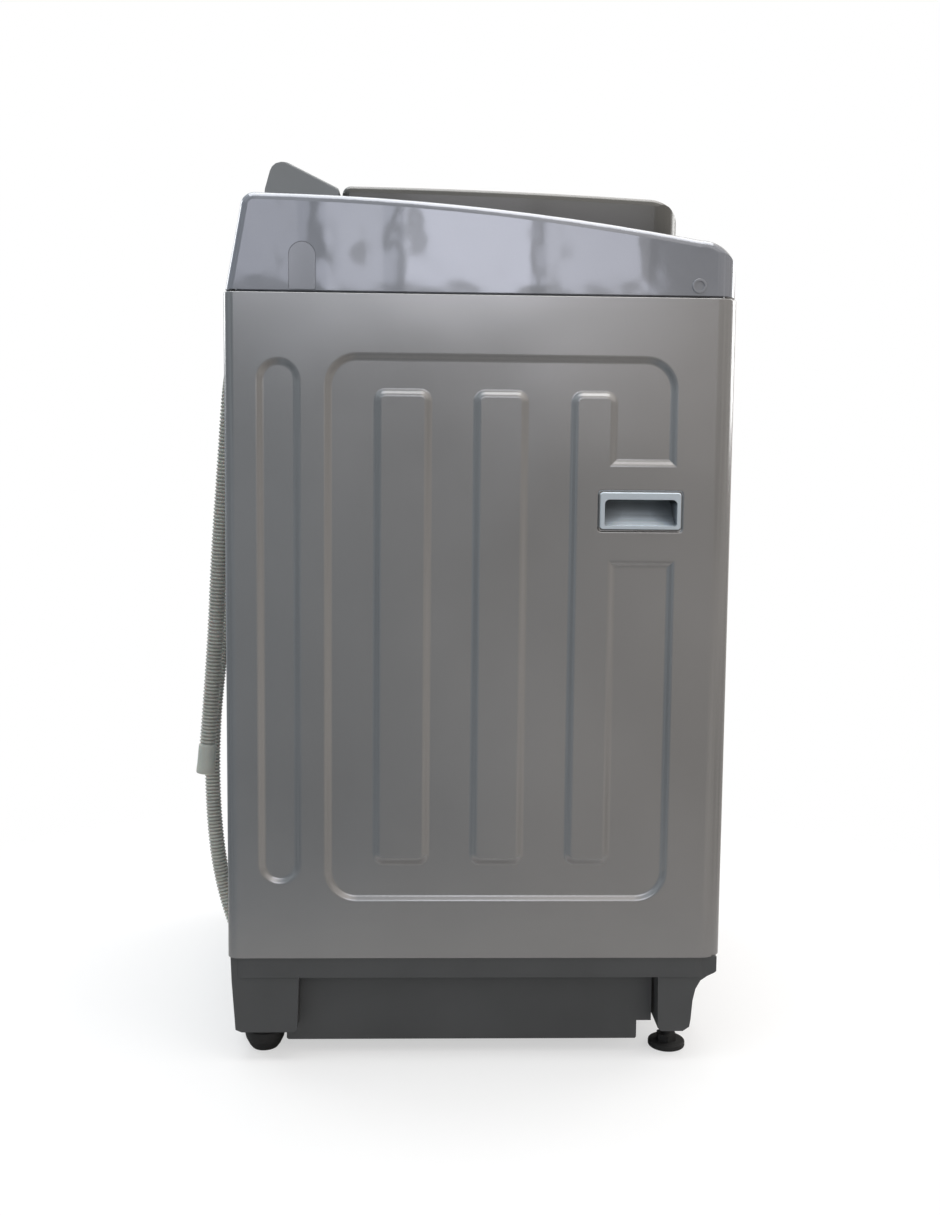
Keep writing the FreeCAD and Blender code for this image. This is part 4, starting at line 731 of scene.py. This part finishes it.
def make_world():
    """A soft surround: dim below, brighter overhead, warmer and brighter at the front, and patchy.

    The camera itself sees plain white behind the machine.
    """
    world = bpy.data.worlds.new("studio")
    bpy.context.scene.world = world
    world.use_nodes = True
    tree = world.node_tree
    new = tree.nodes.new
    coords = new("ShaderNodeTexCoord")
    split = new("ShaderNodeSeparateXYZ")
    tree.links.new(coords.outputs["Generated"], split.inputs["Vector"])
    height = new("ShaderNodeMapRange")
    height.inputs["From Min"].default_value = -1.0
    tree.links.new(split.outputs["Z"], height.inputs["Value"])
    ramp = new("ShaderNodeValToRGB")
    while len(ramp.color_ramp.elements) < len(SKY_STOPS):
        ramp.color_ramp.elements.new(0.5)
    for stop, (at, level) in zip(ramp.color_ramp.elements, SKY_STOPS):
        stop.position = at
        stop.color = (level, level, level, 1)
    tree.links.new(height.outputs["Result"], ramp.inputs["Fac"])
    turn = new("ShaderNodeMapRange")
    turn.inputs["From Min"].default_value = -TINT_TURN
    turn.inputs["From Max"].default_value = TINT_TURN
    tree.links.new(split.outputs["Y"], turn.inputs["Value"])
    tint = new("ShaderNodeMix")
    tint.data_type = "RGBA"
    tint.inputs["A"].default_value = FRONT_TINT
    tint.inputs["B"].default_value = REAR_TINT
    tree.links.new(turn.outputs["Result"], tint.inputs["Factor"])
    tinted = new("ShaderNodeMix")
    tinted.data_type = "RGBA"
    tinted.blend_type = "MULTIPLY"
    tinted.inputs["Factor"].default_value = 1.0
    tree.links.new(ramp.outputs["Color"], tinted.inputs["A"])
    tree.links.new(tint.outputs["Result"], tinted.inputs["B"])
    patches = new("ShaderNodeTexNoise")
    patches.inputs["Scale"].default_value = PATCH_SCALE
    patches.inputs["Detail"].default_value = 1.0
    tree.links.new(coords.outputs["Generated"], patches.inputs["Vector"])
    spread = new("ShaderNodeMapRange")
    spread.inputs["From Min"].default_value = 0.3
    spread.inputs["From Max"].default_value = 0.7
    spread.inputs["To Min"].default_value = PATCH_DIM
    spread.inputs["To Max"].default_value = PATCH_BRIGHT
    tree.links.new(patches.outputs["Fac"], spread.inputs["Value"])
    uneven = new("ShaderNodeVectorMath")
    uneven.operation = "SCALE"
    tree.links.new(tinted.outputs["Result"], uneven.inputs[0])
    tree.links.new(spread.outputs["Result"], uneven.inputs["Scale"])
    seen = new("ShaderNodeBackground")
    seen.inputs["Color"].default_value = (1, 1, 1, 1)
    felt = new("ShaderNodeBackground")
    felt.inputs["Strength"].default_value = SKY_STRENGTH
    tree.links.new(uneven.outputs["Vector"], felt.inputs["Color"])
    path = new("ShaderNodeLightPath")
    mix = new("ShaderNodeMixShader")
    tree.links.new(path.outputs["Is Camera Ray"], mix.inputs["Fac"])
    tree.links.new(felt.outputs["Background"], mix.inputs[1])
    tree.links.new(seen.outputs["Background"], mix.inputs[2])
    tree.links.new(mix.outputs["Shader"], tree.nodes["World Output"].inputs["Surface"])


# The four pale panels that the left side mirrors: middle along Y, width and power.
SIDE_PANELS = ((0.90, 0.56, 1.5), (0.38, 0.24, 0.9), (-0.10, 0.54, 2.9), (-0.66, 0.44, 1.8))
PANEL_X, PANEL_Z, PANEL_TALL = -4.2, 1.95, 0.86
PANEL_AIM_Z = 1.2
PANEL_TINT = (0.95, 0.95, 1.04)


make_stage()
make_world()
make_light("overhead", place=(0, 0, 3.2), aim=(0, 0, 0.5), size=(2.8, 2.8), power=62)
for number, (middle, wide, watts) in enumerate(SIDE_PANELS):
    place, aim = (PANEL_X, middle, PANEL_Z), (0, middle, PANEL_AIM_Z)
    make_light(f"side_panel_{number}", place, aim, (wide, PANEL_TALL), watts, PANEL_TINT)
make_light("side_fill", place=(-2.4, -2.6, 1.5), aim=(0, 0, 0.4), size=(1.8, 1.8), power=14,
           tint=(1.0, 0.97, 0.93), mirrored=False)
make_light("front_fill", place=(1.6, -3.2, 1.8), aim=(0, 0, 0.5), size=(1.8, 1.8), power=34)
make_light("rear_fill", place=(1.6, 3.0, 1.9), aim=(0, 0, 0.5), size=(1.6, 1.6), power=26)
bpy.context.scene.view_settings.view_transform = "Standard"
